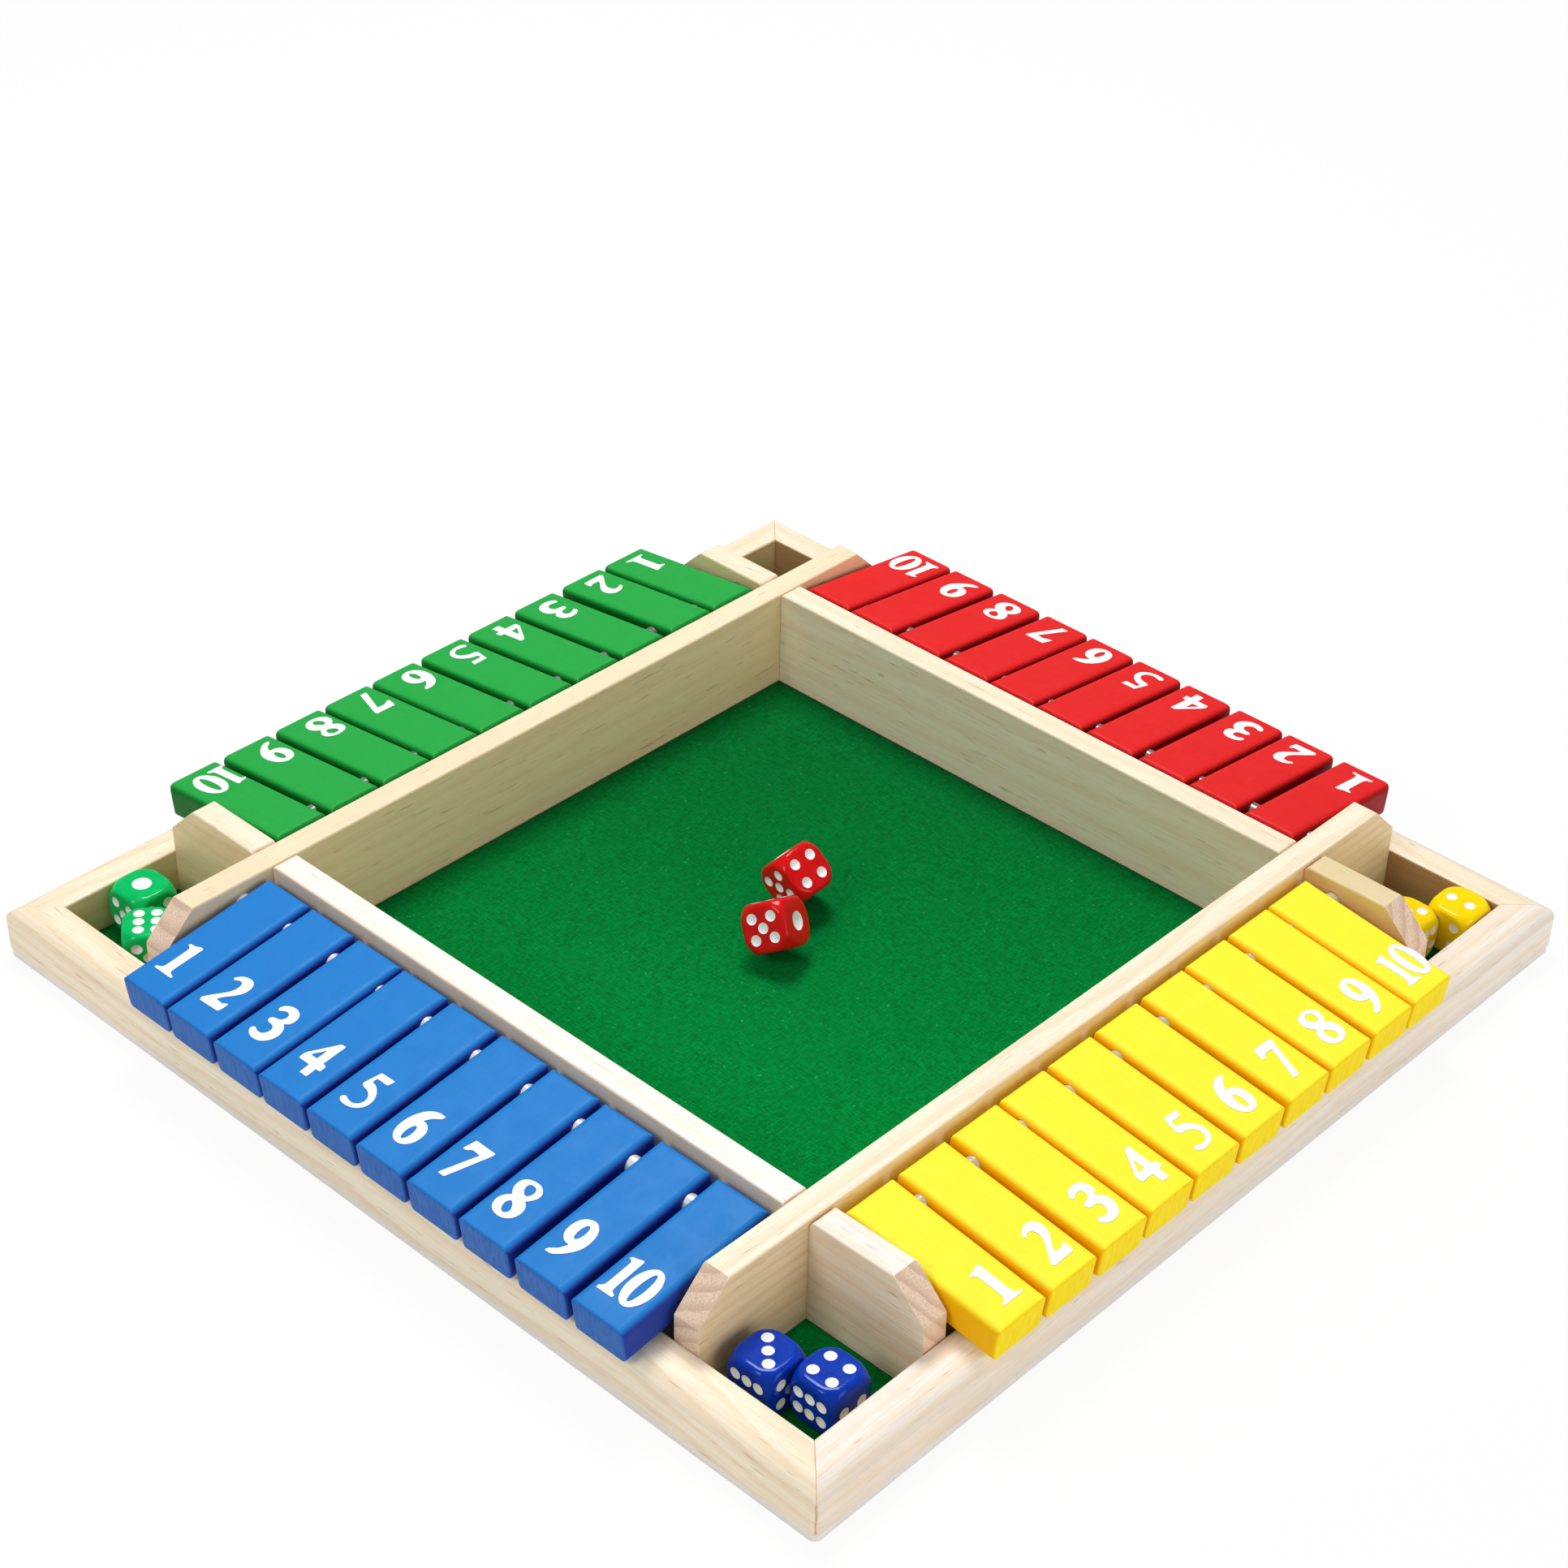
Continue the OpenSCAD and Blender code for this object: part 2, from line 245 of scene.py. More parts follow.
def pine(name, along, pith, ring_gap, seed, pale, figure, inner=PINE_TRAY_SHADE):
    """Pine whose grain runs along X or Y. pith is where the trunk's middle lies, in mm from the
    board's middle: across the grain, and up."""
    wood = Finish(name, Roughness=0.52)
    x, y, z = wood.split(wood.vector("MULTIPLY", wood.here, (1 / MM,) * 3))
    length, across = (x, y) if along == "X" else (y, x)
    local = wood.vector("ADD", wood.join(length, across, z), (137 * seed, 71 * seed, 53 * seed))

    drift = wood.noise((0.006, 0.02, 0.02), 1.0, at=local)
    waver = wood.noise((0.03, 0.12, 0.12), at=local)
    side = wood.math("SUBTRACT", across, pith[0])
    rise = wood.math("SUBTRACT", z, pith[1])
    radius = wood.math("SQRT", wood.math("ADD", wood.times(side, side), wood.times(rise, rise)))
    radius = wood.math("ADD", radius, wood.times(drift, RING_DRIFT))
    radius = wood.math("ADD", radius, wood.times(waver, RING_WAVER))
    ring = wood.math("FRACT", wood.math("DIVIDE", radius, ring_gap))
    late = wood.times(wood.between(ring, 0.35, 0.86), wood.between(ring, 1.0, 0.9))

    fibre = wood.noise((0.07, 1.9, 1.9), 3.0, 0.6, at=local)
    fleck = wood.noise((0.11, 1.5, 1.5), 1.0, at=local)
    cloud = wood.noise((0.012, 0.07, 0.07), at=local)
    tint = wood.blend(wood.times(late, figure), pale, PINE_LATE)
    tint = wood.wash(tint, PINE_LATE, cloud, 0.35, 0.75, 0.35)
    tint = wood.wash(tint, PINE_FIBRE, fibre, 0.42, 0.78, 0.55)
    tint = wood.wash(tint, PINE_FLECK, fleck, 0.67, 0.78, 0.6)

    facing = wood.split(wood.normal)
    # Painted shade: upright faces inside the tray are multiplied by the tray shade tone
    upright = wood.between(wood.math("ABSOLUTE", facing[2]), 0.8, 0.35)
    far = wood.math("MAXIMUM", wood.math("ABSOLUTE", x), wood.math("ABSOLUTE", y))
    in_tray = wood.between(far, TRAY_HALF + 0.6, TRAY_HALF + 0.1)
    tint = wood.blend(wood.times(upright, in_tray), tint, inner, "MULTIPLY")

    end = wood.between(wood.math("ABSOLUTE", facing[0 if along == "X" else 1]), 0.45, 0.72)
    pores = wood.noise((0.5, 3.2, 3.2), 3.0, 0.7, at=local)
    end_tint = wood.wash(PINE_END, PINE_END_DARK, pores, 0.35, 0.7, 0.7)
    end_tint = wood.blend(wood.times(late, 0.55), end_tint, PINE_END_DARK)
    wood.colour(wood.blend(end, tint, end_tint))
    wood.roughness(wood.between(fibre, 0.3, 0.8, 0.46, 0.62))
    wood.relief(fibre, 0.00012, 0.5)
    return wood.material


print("pine grain is ready for", ", ".join(sorted(n for n in frame["nodes"] if "rail" in n)))

# %% [markdown]
# ## Easing the edges of the boards
#
# No planed board has a true knife edge: a touch of sandpaper breaks every corner, and that sliver is
# what catches the light and shows where two boards meet. The frame's meshes are loose triangles, so
# each is copied and merged first, its flat faces made whole, and then bevelled by a quarter of a
# millimetre wherever two faces meet at an angle. Normals weighted by face area keep the flats flat.

# %% Edge kit
EASED = 0.25 * MM
SAME_SPOT = 0.002 * MM     # corners this close are one


def as_mesh(work, name):
    """The worked geometry as a mesh of its own."""
    mesh = bpy.data.meshes.new(name)
    work.to_mesh(mesh)
    work.free()
    return mesh


def smooth(mesh):
    for face in mesh.polygons:
        face.use_smooth = True
    return mesh


def merged_copy(node, name):
    """A copy of a frame node's mesh with its loose triangles merged into whole faces."""
    work = bmesh.new()
    work.from_mesh(frame["nodes"][node].data)
    bmesh.ops.remove_doubles(work, verts=work.verts, dist=SAME_SPOT)
    bmesh.ops.dissolve_limit(work, angle_limit=math.radians(0.6), verts=work.verts, edges=work.edges)
    return as_mesh(work, name)


def new_object(name, mesh):
    piece = bpy.data.objects.new(name, mesh)
    bpy.context.scene.collection.objects.link(piece)
    return piece


def evaluated_mesh(piece):
    """What the piece's modifiers make of it, as a plain mesh."""
    graph = bpy.context.evaluated_depsgraph_get()
    return bpy.data.meshes.new_from_object(piece.evaluated_get(graph))


def ease_edges(piece, width, angle=35, segments=2):
    """Breaks every edge sharper than the angle by a small bevel."""
    smooth(piece.data)
    bevel = piece.modifiers.new("ease", "BEVEL")
    bevel.limit_method = "ANGLE"
    bevel.angle_limit = math.radians(angle)
    bevel.width = width
    bevel.segments = segments
    bevel.use_clamp_overlap = True
    weighted = piece.modifiers.new("weighted", "WEIGHTED_NORMAL")
    weighted.keep_sharp = True
    mesh = evaluated_mesh(piece)
    piece.modifiers.clear()
    piece.data = mesh


def place(piece, body, slot, *nodes):
    """Hands a finished piece to the frame: what it moves with and the nodes it stands for, which are hidden.
    The slot is not used.
    """
    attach(piece, body)
    if nodes:
        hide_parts(*nodes)
    return piece


print("edges are eased by", EASED / MM, "mm")

# %% [markdown]
# ## The woodwork
#
# Four mitred rails, two long partitions, two pit walls, four corner stubs and the base board. Each
# board was sawn from its own plank, so each gets its own pith and its own stretch of the figure, and
# the grain turns with the board: at a mitre the two figures meet at an angle, as joiners like it.

# %% Boards
CREAM = chart(249, 237, 210)
# A near white that paints a highlight onto the front pit wall and the right front stub
HIGHLIGHT_WHITE = chart(255, 254, 251)
GREYED = chart(247, 237, 225)
WARM = chart(255, 243, 218)
HONEY = chart(246, 230, 194)
STRAW = chart(224, 208, 154)
BOARDS = {
    # node: (grain, pith across and up in mm, ring gap in mm, figure, colour, slot)
    "rail_front": ("X", (-205, -60), 4.6, 0.5, PINE_PALE, "pine_rail"),
    "rail_right": ("Y", (95, 60), 4.0, 0.35, GREYED, "pine_rail"),
    "rail_back": ("X", (60, 90), 5.2, 0.45, CREAM, "pine_rail"),
    "rail_left": ("Y", (-190, 40), 4.4, 0.5, PINE_PALE, "pine_rail"),
    "long_partition_right": ("Y", (60, 110), 3.8, 0.5, WARM, "pine_wall"),
    "long_partition_left": ("Y", (-140, 130), 4.8, 0.45, HONEY, "pine_wall"),
    # The front pit wall's near white and faint figure are a painted highlight
    "pit_wall_front": ("X", (-60, 140), 5.0, 0.1, HIGHLIGHT_WHITE, "pine_wall"),
    "pit_wall_back": ("X", (150, 60), 5.6, 0.4, CREAM, "pine_wall"),
    "corner_stubs": ("X", (-30, 110), 4.2, 0.3, HIGHLIGHT_WHITE, "pine_wall"),
}
# The painted shade on some boards' upright faces in the tray is lighter or browner than on the others'
TRAY_SHADE_TONES = {
    "long_partition_left": chart(255, 248, 232),
    "pit_wall_back": chart(255, 255, 255),
    "rail_back": chart(190, 158, 130),
}
# The four stubs were sawn from different pieces: their colours at the right front, the right back,
# the left back and the left front. The right front stub's near white is a painted highlight.
STUB_COLOURS = (HIGHLIGHT_WHITE, STRAW, CREAM, CREAM)
CORNERS = {"right_front": (1, -1), "right_back": (1, 1), "left_back": (-1, 1), "left_front": (-1, -1)}


def dress_stubs(board, seed, pith, ring_gap, figure):
    """Gives each corner's stub a finish of its own."""
    for corner, pale in enumerate(STUB_COLOURS):
        beside = (pith[0] + 20 * corner, pith[1])
        finish = pine(f"pine stub {corner}", "X", beside, ring_gap, seed + corner, pale, figure)
        board.data.materials.append(finish)
    for face in board.data.polygons:
        sides = tuple(1 if face.center[axis] > 0 else -1 for axis in (0, 1))
        face.material_index = list(CORNERS.values()).index(sides)


for order, (node, (along, pith, gap, figure, pale, slot)) in enumerate(BOARDS.items()):
    board = new_object("pine_" + node, merged_copy(node, node))
    if node == "corner_stubs":
        dress_stubs(board, order + 10, pith, gap, figure)
    else:
        inner = TRAY_SHADE_TONES.get(node, PINE_TRAY_SHADE)
        finish = pine("pine " + node, along, pith, gap, order + 1.0, pale, figure, inner)
        board.data.materials.append(finish)
    ease_edges(board, EASED)
    place(board, BOARD, slot, node)
    print(board.name, len(board.data.polygons), "faces")

# %% [markdown]
# The base is a thin white-faced sheet under the rails. Only its edge shows, as a pale line below
# them, and its underside when the board is picked up. It is calmer than the pine: fine, short and
# nearly white.

# %% Base board
def sheet_wood():
    base = Finish("base board", Roughness=0.6)
    fibre = base.noise((90, 1400, 1400), 3.0)
    cloud = base.noise((14, 40, 40))
    pale, dark, grey = chart(250, 246, 242), chart(236, 226, 214), chart(240, 232, 222)
    tint = base.wash(pale, dark, fibre, 0.35, 0.75, 0.5)
    base.colour(base.wash(tint, grey, cloud, 0.3, 0.8, 0.3))
    base.relief(fibre, 0.0001, 0.4)
    return base.material


base_sheet = new_object("base_sheet", merged_copy("base_board", "base_sheet"))
base_sheet.data.materials.append(sheet_wood())
ease_edges(base_sheet, 0.3 * MM)
place(base_sheet, BOARD, "base_wood", "base_board")
print("base sheet is", [round(v / MM, 1) for v in base_sheet.dimensions])

# %% [markdown]
# ## Felt
#
# Five sheets of green felt are glued down: one in the pit and one in each corner compartment. Felt
# has no weave. It is a mat of short fibres that lie every way, so it looks mottled close by and even
# from afar, and it glows a little at a low angle. Each sheet is a thin closed shell with a surface
# that rolls by a few hundredths of a millimetre. Their colour mixes fine crossing streaks, and a
# painted gradient of light makes the felt lighter towards the front corner and darker towards the back.

# %% Felt sheets
LIGHTER_TOWARD = (0.657, -0.754, 0.0)    # painted light: the felt is painted lighter this way, towards the front corner
PIT_EDGE = 93.35 * MM      # half the pit's sheet
NOOK_IN = 102.15 * MM      # a compartment sheet's inner edge
NOOK_OUT = 137.6 * MM      # and its outer edge
FELT_SINK = 0.08 * MM      # its top lies this far under the sheet's full height
FELT_ROLL = 0.02 * MM      # and rolls by up to three times this


def felt_finish():
    felt = Finish("green felt", Roughness=0.95, Sheen_Weight=0.04, Sheen_Roughness=0.5,
                  Specular_IOR_Level=0.04, Sheen_Tint=chart(120, 220, 150))
    streak_a = felt.noise((420, 2600, 900), 3.0, 0.65)
    streak_b = felt.noise((2400, 480, 900), 3.0, 0.65)
    mat = felt.times(felt.math("ADD", streak_a, streak_b), 0.5)
    patch = felt.noise(70, 3.0)
    lint = felt.noise(900, 1.0)
    tint = felt.wash(chart(0, 100, 36), chart(0, 138, 62), mat, 0.36, 0.66)
    tint = felt.wash(tint, chart(0, 118, 50), patch, 0.35, 0.7, 0.35)
    tint = felt.wash(tint, chart(60, 170, 105), lint, 0.72, 0.8, 0.6)
    # Painted light: the colour is scaled from darker at the back to lighter towards the front corner
    toward_lighter = felt.add("ShaderNodeVectorMath", {0: felt.here, 1: LIGHTER_TOWARD}, operation="DOT_PRODUCT")
    shade = felt.between(toward_lighter.outputs["Value"], -0.13, 0.11, 0.66, 1.22)
    felt.colour(felt.vector("MULTIPLY", tint, felt.join(shade, shade, shade)))
    felt.relief(mat, 0.00025, 0.7)
    return felt.material


def felt_sheet(name, low, high, cells):
    """A thin closed sheet between two corners, its top gently uneven."""
    work = bmesh.new()
    bmesh.ops.create_grid(work, x_segments=cells, y_segments=cells, size=0.5)
    span, middle = high - low, (high + low) / 2
    for vert in work.verts:
        at_edge = max(abs(vert.co.x), abs(vert.co.y)) > 0.499
        x = middle.x + vert.co.x * span.x
        y = middle.y + vert.co.y * span.y
        roll = FELT_ROLL * (math.sin(x * 310) + math.sin(y * 270 + 2) + math.sin((x + y) * 530))
        vert.co = (x, y, high.z - FELT_SINK + (0 if at_edge else roll))
    skirt = bmesh.ops.extrude_face_region(work, geom=list(work.faces))
    for item in skirt["geom"]:
        if isinstance(item, bmesh.types.BMVert):
            item.co.z = low.z
    bmesh.ops.recalc_face_normals(work, faces=work.faces)
    return new_object(name, smooth(as_mesh(work, name)))


felt_low, felt_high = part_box("felt_lining")
green_felt = felt_finish()
sheets = {"felt_pit": ((-PIT_EDGE, -PIT_EDGE), (PIT_EDGE, PIT_EDGE), 72)}
for name, (sx, sy) in CORNERS.items():
    xs = sorted((sx * NOOK_IN, sx * NOOK_OUT))
    ys = sorted((sy * NOOK_IN, sy * NOOK_OUT))
    sheets["felt_" + name] = ((xs[0], ys[0]), (xs[1], ys[1]), 18)
for name, (low, high, cells) in sheets.items():
    cloth = felt_sheet(name, Vector((*low, felt_low.z)), Vector((*high, felt_high.z)), cells)
    cloth.data.materials.append(green_felt)
    place(cloth, BOARD, "felt", "felt_lining")
    print(name, [round(v / MM, 2) for v in cloth.dimensions])

# %% [markdown]
# ## Parts that a rule makes
#
# Fibres, rods, bores and dimples repeat by a rule, which is work for Geometry Nodes. One more class
# writes such a tree a node a line. It names the tree's inputs, so that sizes come in from outside,
# and it holds the two steps that several trees share: to make copies real, and to cut tools out of a
# body. What a tree makes of a mesh is kept as a plain mesh.

# %% Geometry kit
class Growth(Chain):
    """A geometry tree with named inputs. Each is given by its usual number, or else by its kind."""

    NUMBERS = {float: "Float", int: "Int"}

    def __init__(self, name, **sizes):
        super().__init__(bpy.data.node_groups.new(name, "GeometryNodeTree"))
        for label, value in {"Geometry": "Geometry", **sizes}.items():
            kind = "NodeSocket" + self.NUMBERS.get(type(value), str(value))
            socket = self.tree.interface.new_socket(label.replace("_", " "), in_out="INPUT", socket_type=kind)
            if type(value) in self.NUMBERS:
                socket.default_value = value
        self.tree.interface.new_socket("Geometry", in_out="OUTPUT", socket_type="NodeSocketGeometry")
        self.given = self.tree.nodes.new("NodeGroupInput").outputs

    def shape(self, kind, inputs, **settings):
        """A geometry node's first output."""
        return self.add("GeometryNode" + kind, inputs, **settings).outputs[0]

    def dress(self, geometry, material):
        return self.shape("SetMaterial", {0: geometry, "Material": material})

    def finish(self, geometry, material, chosen=True):
        """Makes instances real and gives the chosen faces their material."""
        solid = self.shape("RealizeInstances", {0: geometry})
        dressed = self.shape("SetMaterial", {0: solid, "Selection": chosen, "Material": material})
        self.set(self.tree.nodes.new("NodeGroupOutput").inputs[0], dressed)
        return self.tree

    def cut(self, body, tools, material, own_material):
        """The body in its own material less the tools, whose material stays on what they leave."""
        body = self.dress(body, own_material)
        left = self.shape("MeshBoolean", {0: body, 1: tools}, operation="DIFFERENCE", solver="EXACT")
        return self.finish(left, material, self.shape("MaterialSelection", {0: material}))


def grown(mesh, tree, values):
    """What the tree makes of the mesh, as a plain mesh."""
    carrier = new_object("carrier", mesh)
    modifier = carrier.modifiers.new("grow", "NODES")
    modifier.node_group = tree
    for item in tree.interface.items_tree:
        if item.in_out == "INPUT" and item.name in values:
            modifier[item.identifier] = values[item.name]
    made = evaluated_mesh(carrier)
    bpy.data.objects.remove(carrier)
    return made


print("trees take a mesh and give back a plain one")

# %% [markdown]
# Loose fibres stand out of real felt as bright specks. There are thousands, scattered evenly, each
# turned and bent its own way. A fibre is a curve of three short runs with a
# three-sided section, so it has only 18 faces. Points are scattered on the felt's top, a fibre is put
# on each, and the whole is made one plain mesh.

# %% Felt nap
def nap_tree():
    tree = Growth("felt nap", Fibres_per_area=60000.0, Length=1.1 * MM, Thickness=0.05 * MM, Seed=4,
                  Material="Material")
    given = tree.given

    def point(x, y, z):
        inputs = {0: tree.join(x, y, z), "Scale": given["Length"]}
        return tree.add("ShaderNodeVectorMath", inputs, operation="SCALE").outputs[0]

    bend = tree.shape("CurveQuadraticBezier", {
        "Resolution": 3, "Start": point(-0.5, 0, 0.03), "Middle": point(0, 0.35, 0.3),
        "End": point(0.5, 0, 0.06),
    })
    section = tree.shape("CurvePrimitiveCircle", {
        "Resolution": 3, "Radius": tree.times(given["Thickness"], 0.5),
    })
    fibre = tree.shape("CurveToMesh", {"Curve": bend, "Profile Curve": section, "Fill Caps": True})
    spots = tree.shape("DistributePointsOnFaces", {
        "Mesh": given["Geometry"], "Density": given["Fibres per area"], "Seed": given["Seed"],
    })
    turn = tree.add("FunctionNodeRandomValue", {
        "Min": (-0.2, -0.2, 0), "Max": (0.2, 0.2, math.tau), "Seed": given["Seed"],
    }, data_type="FLOAT_VECTOR")
    spread = tree.add("FunctionNodeRandomValue", {2: 0.45, 3: 1.3, "Seed": given["Seed"]}, data_type="FLOAT")
    laid = tree.shape("InstanceOnPoints", {
        "Points": spots, "Instance": fibre, "Rotation": turn.outputs[0], "Scale": spread.outputs[1],
    })
    return tree.finish(laid, given["Material"])


def fibre_finish():
    fibre = Finish("felt fibre", Roughness=0.9, Specular_IOR_Level=0.05)
    fibre.colour(fibre.wash(chart(0, 122, 52), chart(48, 172, 98), fibre.noise(700, 0.0), 0.3, 0.7))
    return fibre.material


def felt_top(sheets_at):
    """One flat face over each felt sheet, for the fibres to stand on."""
    work = bmesh.new()
    inset = 0.8 * MM
    for low, high, _ in sheets_at:
        corners = [(low[0] + inset, low[1] + inset), (high[0] - inset, low[1] + inset),
                   (high[0] - inset, high[1] - inset), (low[0] + inset, high[1] - inset)]
        work.faces.new([work.verts.new((x, y, felt_high.z - FELT_SINK)) for x, y in corners])
    return as_mesh(work, "felt top")


nap_mesh = grown(felt_top(sheets.values()), nap_tree(), {"Material": fibre_finish()})
nap = place(new_object("felt_nap", nap_mesh), BOARD, "felt")
print("nap faces", len(nap_mesh.polygons))

# %% [markdown]
# ## Steel rods
#
# Each row of tiles turns on one bright steel rod that runs from wall to wall. The same rod lies on
# all four sides, a quarter turn apart, so one tree makes it, lays it down and copies it round the
# board. Little of it shows: a glint in the notch between two tiles. Painted light and shade set the
# rods apart: the front rod is painted brightest, the right one darker, and the two at the back darkest.

# %% Rods
def rod_tree():
    tree = Growth("tile rods", Count=4, Length=195.5 * MM, Radius=2.5 * MM, Out=112 * MM,
                  Height=27.3 * MM, Material="Material")
    given = tree.given
    rod = tree.shape("MeshCylinder", {
        "Vertices": 48, "Radius": given["Radius"], "Depth": given["Length"],
    }, fill_type="NGON")
    lying = tree.shape("Transform", {
        "Geometry": rod, "Translation": tree.join(0.0, tree.times(given["Out"], -1.0), given["Height"]),
        "Rotation": (0, math.pi / 2, 0),
    })
    index = tree.add("GeometryNodeInputIndex").outputs[0]
    angle = tree.times(index, tree.math("DIVIDE", math.tau, given["Count"]))
    round_board = tree.shape("InstanceOnPoints", {
        "Points": tree.shape("Points", {"Count": given["Count"]}), "Instance": lying,
        "Rotation": tree.join(z=angle),
    })
    return tree.finish(round_board, given["Material"])


ROD_HALF = 97.75 * MM      # half a rod's length, to its seats in the walls
NEAR_ROD = 104 * MM        # from the middle: short of the rod
AT_ROD = 108 * MM          # and where the rod is
# Painted shade and light on the rods: darkest at the back, darker at the right, brightest at the front
ROD_BACK_SHADE = chart(96, 88, 80)
ROD_RIGHT_SHADE = chart(206, 190, 160)
ROD_FRONT_LIGHT = chart(250, 250, 252)


def steel_finish():
    steel = Finish("bright steel", Metallic=0.35, Roughness=0.34)
    grain = steel.noise(3000)
    x, y, z = steel.split(steel.here)
    # Painted shade and light: the rod's colour is set by which side of the board it lies on
    tint = steel.wash(ROD_BACK_SHADE, ROD_RIGHT_SHADE, x, NEAR_ROD, AT_ROD)
    tint = steel.wash(tint, ROD_FRONT_LIGHT, y, -NEAR_ROD, -AT_ROD)
    steel.colour(steel.blend(steel.times(grain, 0.3), tint, chart(255, 255, 255)))
    steel.roughness(steel.between(grain, 0.3, 0.7, 0.18, 0.32))
    return steel.material


rods_low, rods_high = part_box("tile_rods")
rod_radius = (rods_high.z - rods_low.z) / 2
rods = new_object("steel_rods", grown(bpy.data.meshes.new("rod carrier"), rod_tree(), {
    "Length": 2 * ROD_HALF,
    "Radius": rod_radius,
    "Out": rods_high.x - rod_radius,
    "Height": (rods_low.z + rods_high.z) / 2,
    "Material": steel_finish(),
}))
ease_edges(rods, 0.2 * MM)
place(rods, BOARD, "steel_rod", "tile_rods")
print("rods reach", [round(v / MM, 2) for v in rods.dimensions])

# %% [markdown]
# ## Painted tiles
#
# A tile is a beech block, rounded along its long edges and painted all over in its player's colour.
# The paint is satin and thin: the grain of the wood just tells through it, the sawn ends drink more
# and look duller, and where it gathers along an end's edges there is a darker line. The bore for the
# rod was drilled after painting, so it is bare wood, and its mouth breaks out through the rounded
# edge as a small notch. The paint tells the faces apart by the way they point: the sides in the gaps
# carry painted shade, a deeper colour that stands in for the shadow and the coloured light in the gaps.

# %% Tile frames
def tile_frame(node):
    """The tile's own axes: X along the rod, Y towards the pit, Z out of its numbered face."""
    joint = joints[node]
    along = -Vector(joint["axis"]).normalized()
    mesh = frame["nodes"][node].data
    upward = [face for face in mesh.polygons if face.normal.z > 0.9]
    broad = max(upward, key=lambda face: face.area)
    out_of_face = broad.normal.normalized()
    inward = out_of_face.cross(along)
    points = [vert.co for vert in mesh.vertices]
    start = min(p.dot(along) for p in points)
    rod = Vector(joint["pos_m"])
    origin = rod + along * (start - rod.dot(along))
    return Matrix((
        (along.x, inward.x, out_of_face.x, origin.x),
        (along.y, inward.y, out_of_face.y, origin.y),
        (along.z, inward.z, out_of_face.z, origin.z),
        (0, 0, 0, 1),
    ))


tile_frames = {}
for colour in ROWS:
    for number in range(1, TILES_IN_ROW + 1):
        node = f"{colour}_tile_{number}"
        tile_frames[node] = tile_frame(node)
lean = math.degrees(math.acos(tile_frames["blue_tile_1"].col[2].z))
print("tiles lean by", round(lean, 2), "degrees")

# %% Paint finish
PAINTS = {
    # the broad faces, the sides in the gaps (painted shade and bounced light), the sawn ends
    "blue": (chart(32, 127, 206), chart(36, 62, 156), chart(58, 112, 186)),
    "yellow": (chart(255, 244, 58), chart(250, 188, 0), chart(255, 230, 12)),
    "red": (chart(229, 38, 38), chart(154, 4, 10), chart(190, 20, 26)),
    "green": (chart(40, 168, 71), chart(2, 108, 30), chart(24, 142, 54)),
}


def paint(colour, along):
    """Satin paint over wood, in a row whose rod runs along X or Y."""
    broad, side, end = PAINTS[colour]
    coat = Finish(colour + " paint", Roughness=0.42, Specular_IOR_Level=0.1)
    x, y, z = coat.split(coat.normal)
    rod_way, out_way = (x, y) if along == "X" else (y, x)
    with_grain = (1500, 120, 1500) if along == "X" else (120, 1500, 1500)
    grain = coat.noise(with_grain, 3.0, 0.6)
    mottle = coat.noise(160)
    saw = coat.noise((1300, 1300, 130))
    shaded_side = coat.between(coat.math("ABSOLUTE", rod_way), 0.45, 0.95)
    facing_out = coat.math("ABSOLUTE", out_way)
    on_end = coat.between(facing_out, 0.55, 0.95)
    on_line = coat.times(coat.between(facing_out, 0.25, 0.6), coat.between(facing_out, 0.97, 0.75))
    tint = coat.wash(broad, side, mottle, 0.3, 0.75, 0.06)
    tint = coat.wash(tint, side, grain, 0.45, 0.8, 0.1)
    # Painted shade: faces that point along the rod, the sides in the gaps, take the deeper side colour
    tint = coat.blend(shaded_side, tint, side)
    sawn = coat.wash(end, side, saw, 0.35, 0.7, 0.35)
    tint = coat.blend(on_end, tint, sawn)
    coat.colour(coat.blend(coat.times(on_line, 0.4), tint, side))
    satin = coat.between(mottle, 0.3, 0.7, 0.38, 0.48)
    coat.roughness(coat.math("ADD", satin, coat.times(on_end, 0.16)))
    coat.relief(coat.math("ADD", coat.times(grain, 0.6), coat.times(saw, on_end)), 0.00012, 0.5)
    return coat.material


def two_tone(name, roughness, per_metre, detail, pale, dark, relief=None):
    """A plain finish that drifts finely between two colours."""
    finish = Finish(name, Roughness=roughness)
    drift = finish.noise(per_metre, detail)
    finish.colour(finish.blend(drift, pale, dark))
    if relief:
        finish.relief(drift, relief, 0.5)
    return finish.material


print("paints:", ", ".join(PAINTS))

# %% [markdown]
# All forty tiles are cut to one drawing, so one block is shaped in a tile's own frame and copied.
# Its surface is where three outlines pushed through each other meet: the section across the tile,
# rounded at all four corners, the profile along it, well rounded at the inner end and crisper at the
# outer one, and the outline of its face. Distances to the outlines are blended over a third of a
# millimetre, which eases the edge where they cross. Each point of a box's skin then slides inwards
# until it meets that surface, as fine cells at the edges and wide ones on the flats.

# %% Tile block
EDGE_ROUND = 2.6           # mm, along the tile's four long edges
ROOT_ROUND = 2.2           # around its inner end
END_ROUND = 0.9            # around its outer end
CORNER_ROUND = 1.4         # of its four corners, seen on the face
EDGE_MELT = 0.35           # over which the outlines flow together
BORDER = 3.0               # how far in from an edge the fine cells reach
BORDER_CELLS = 7
SLIVER = 0.4               # the one thin cell inside them
HALVINGS = 30


def block_size(node):
    """The tile's low and high corners in its own frame, in mm."""
    to_tile = tile_frames[node].inverted()
    spots = np.array([to_tile @ vert.co for vert in frame["nodes"][node].data.vertices]) / MM
    return spots.min(axis=0), spots.max(axis=0)


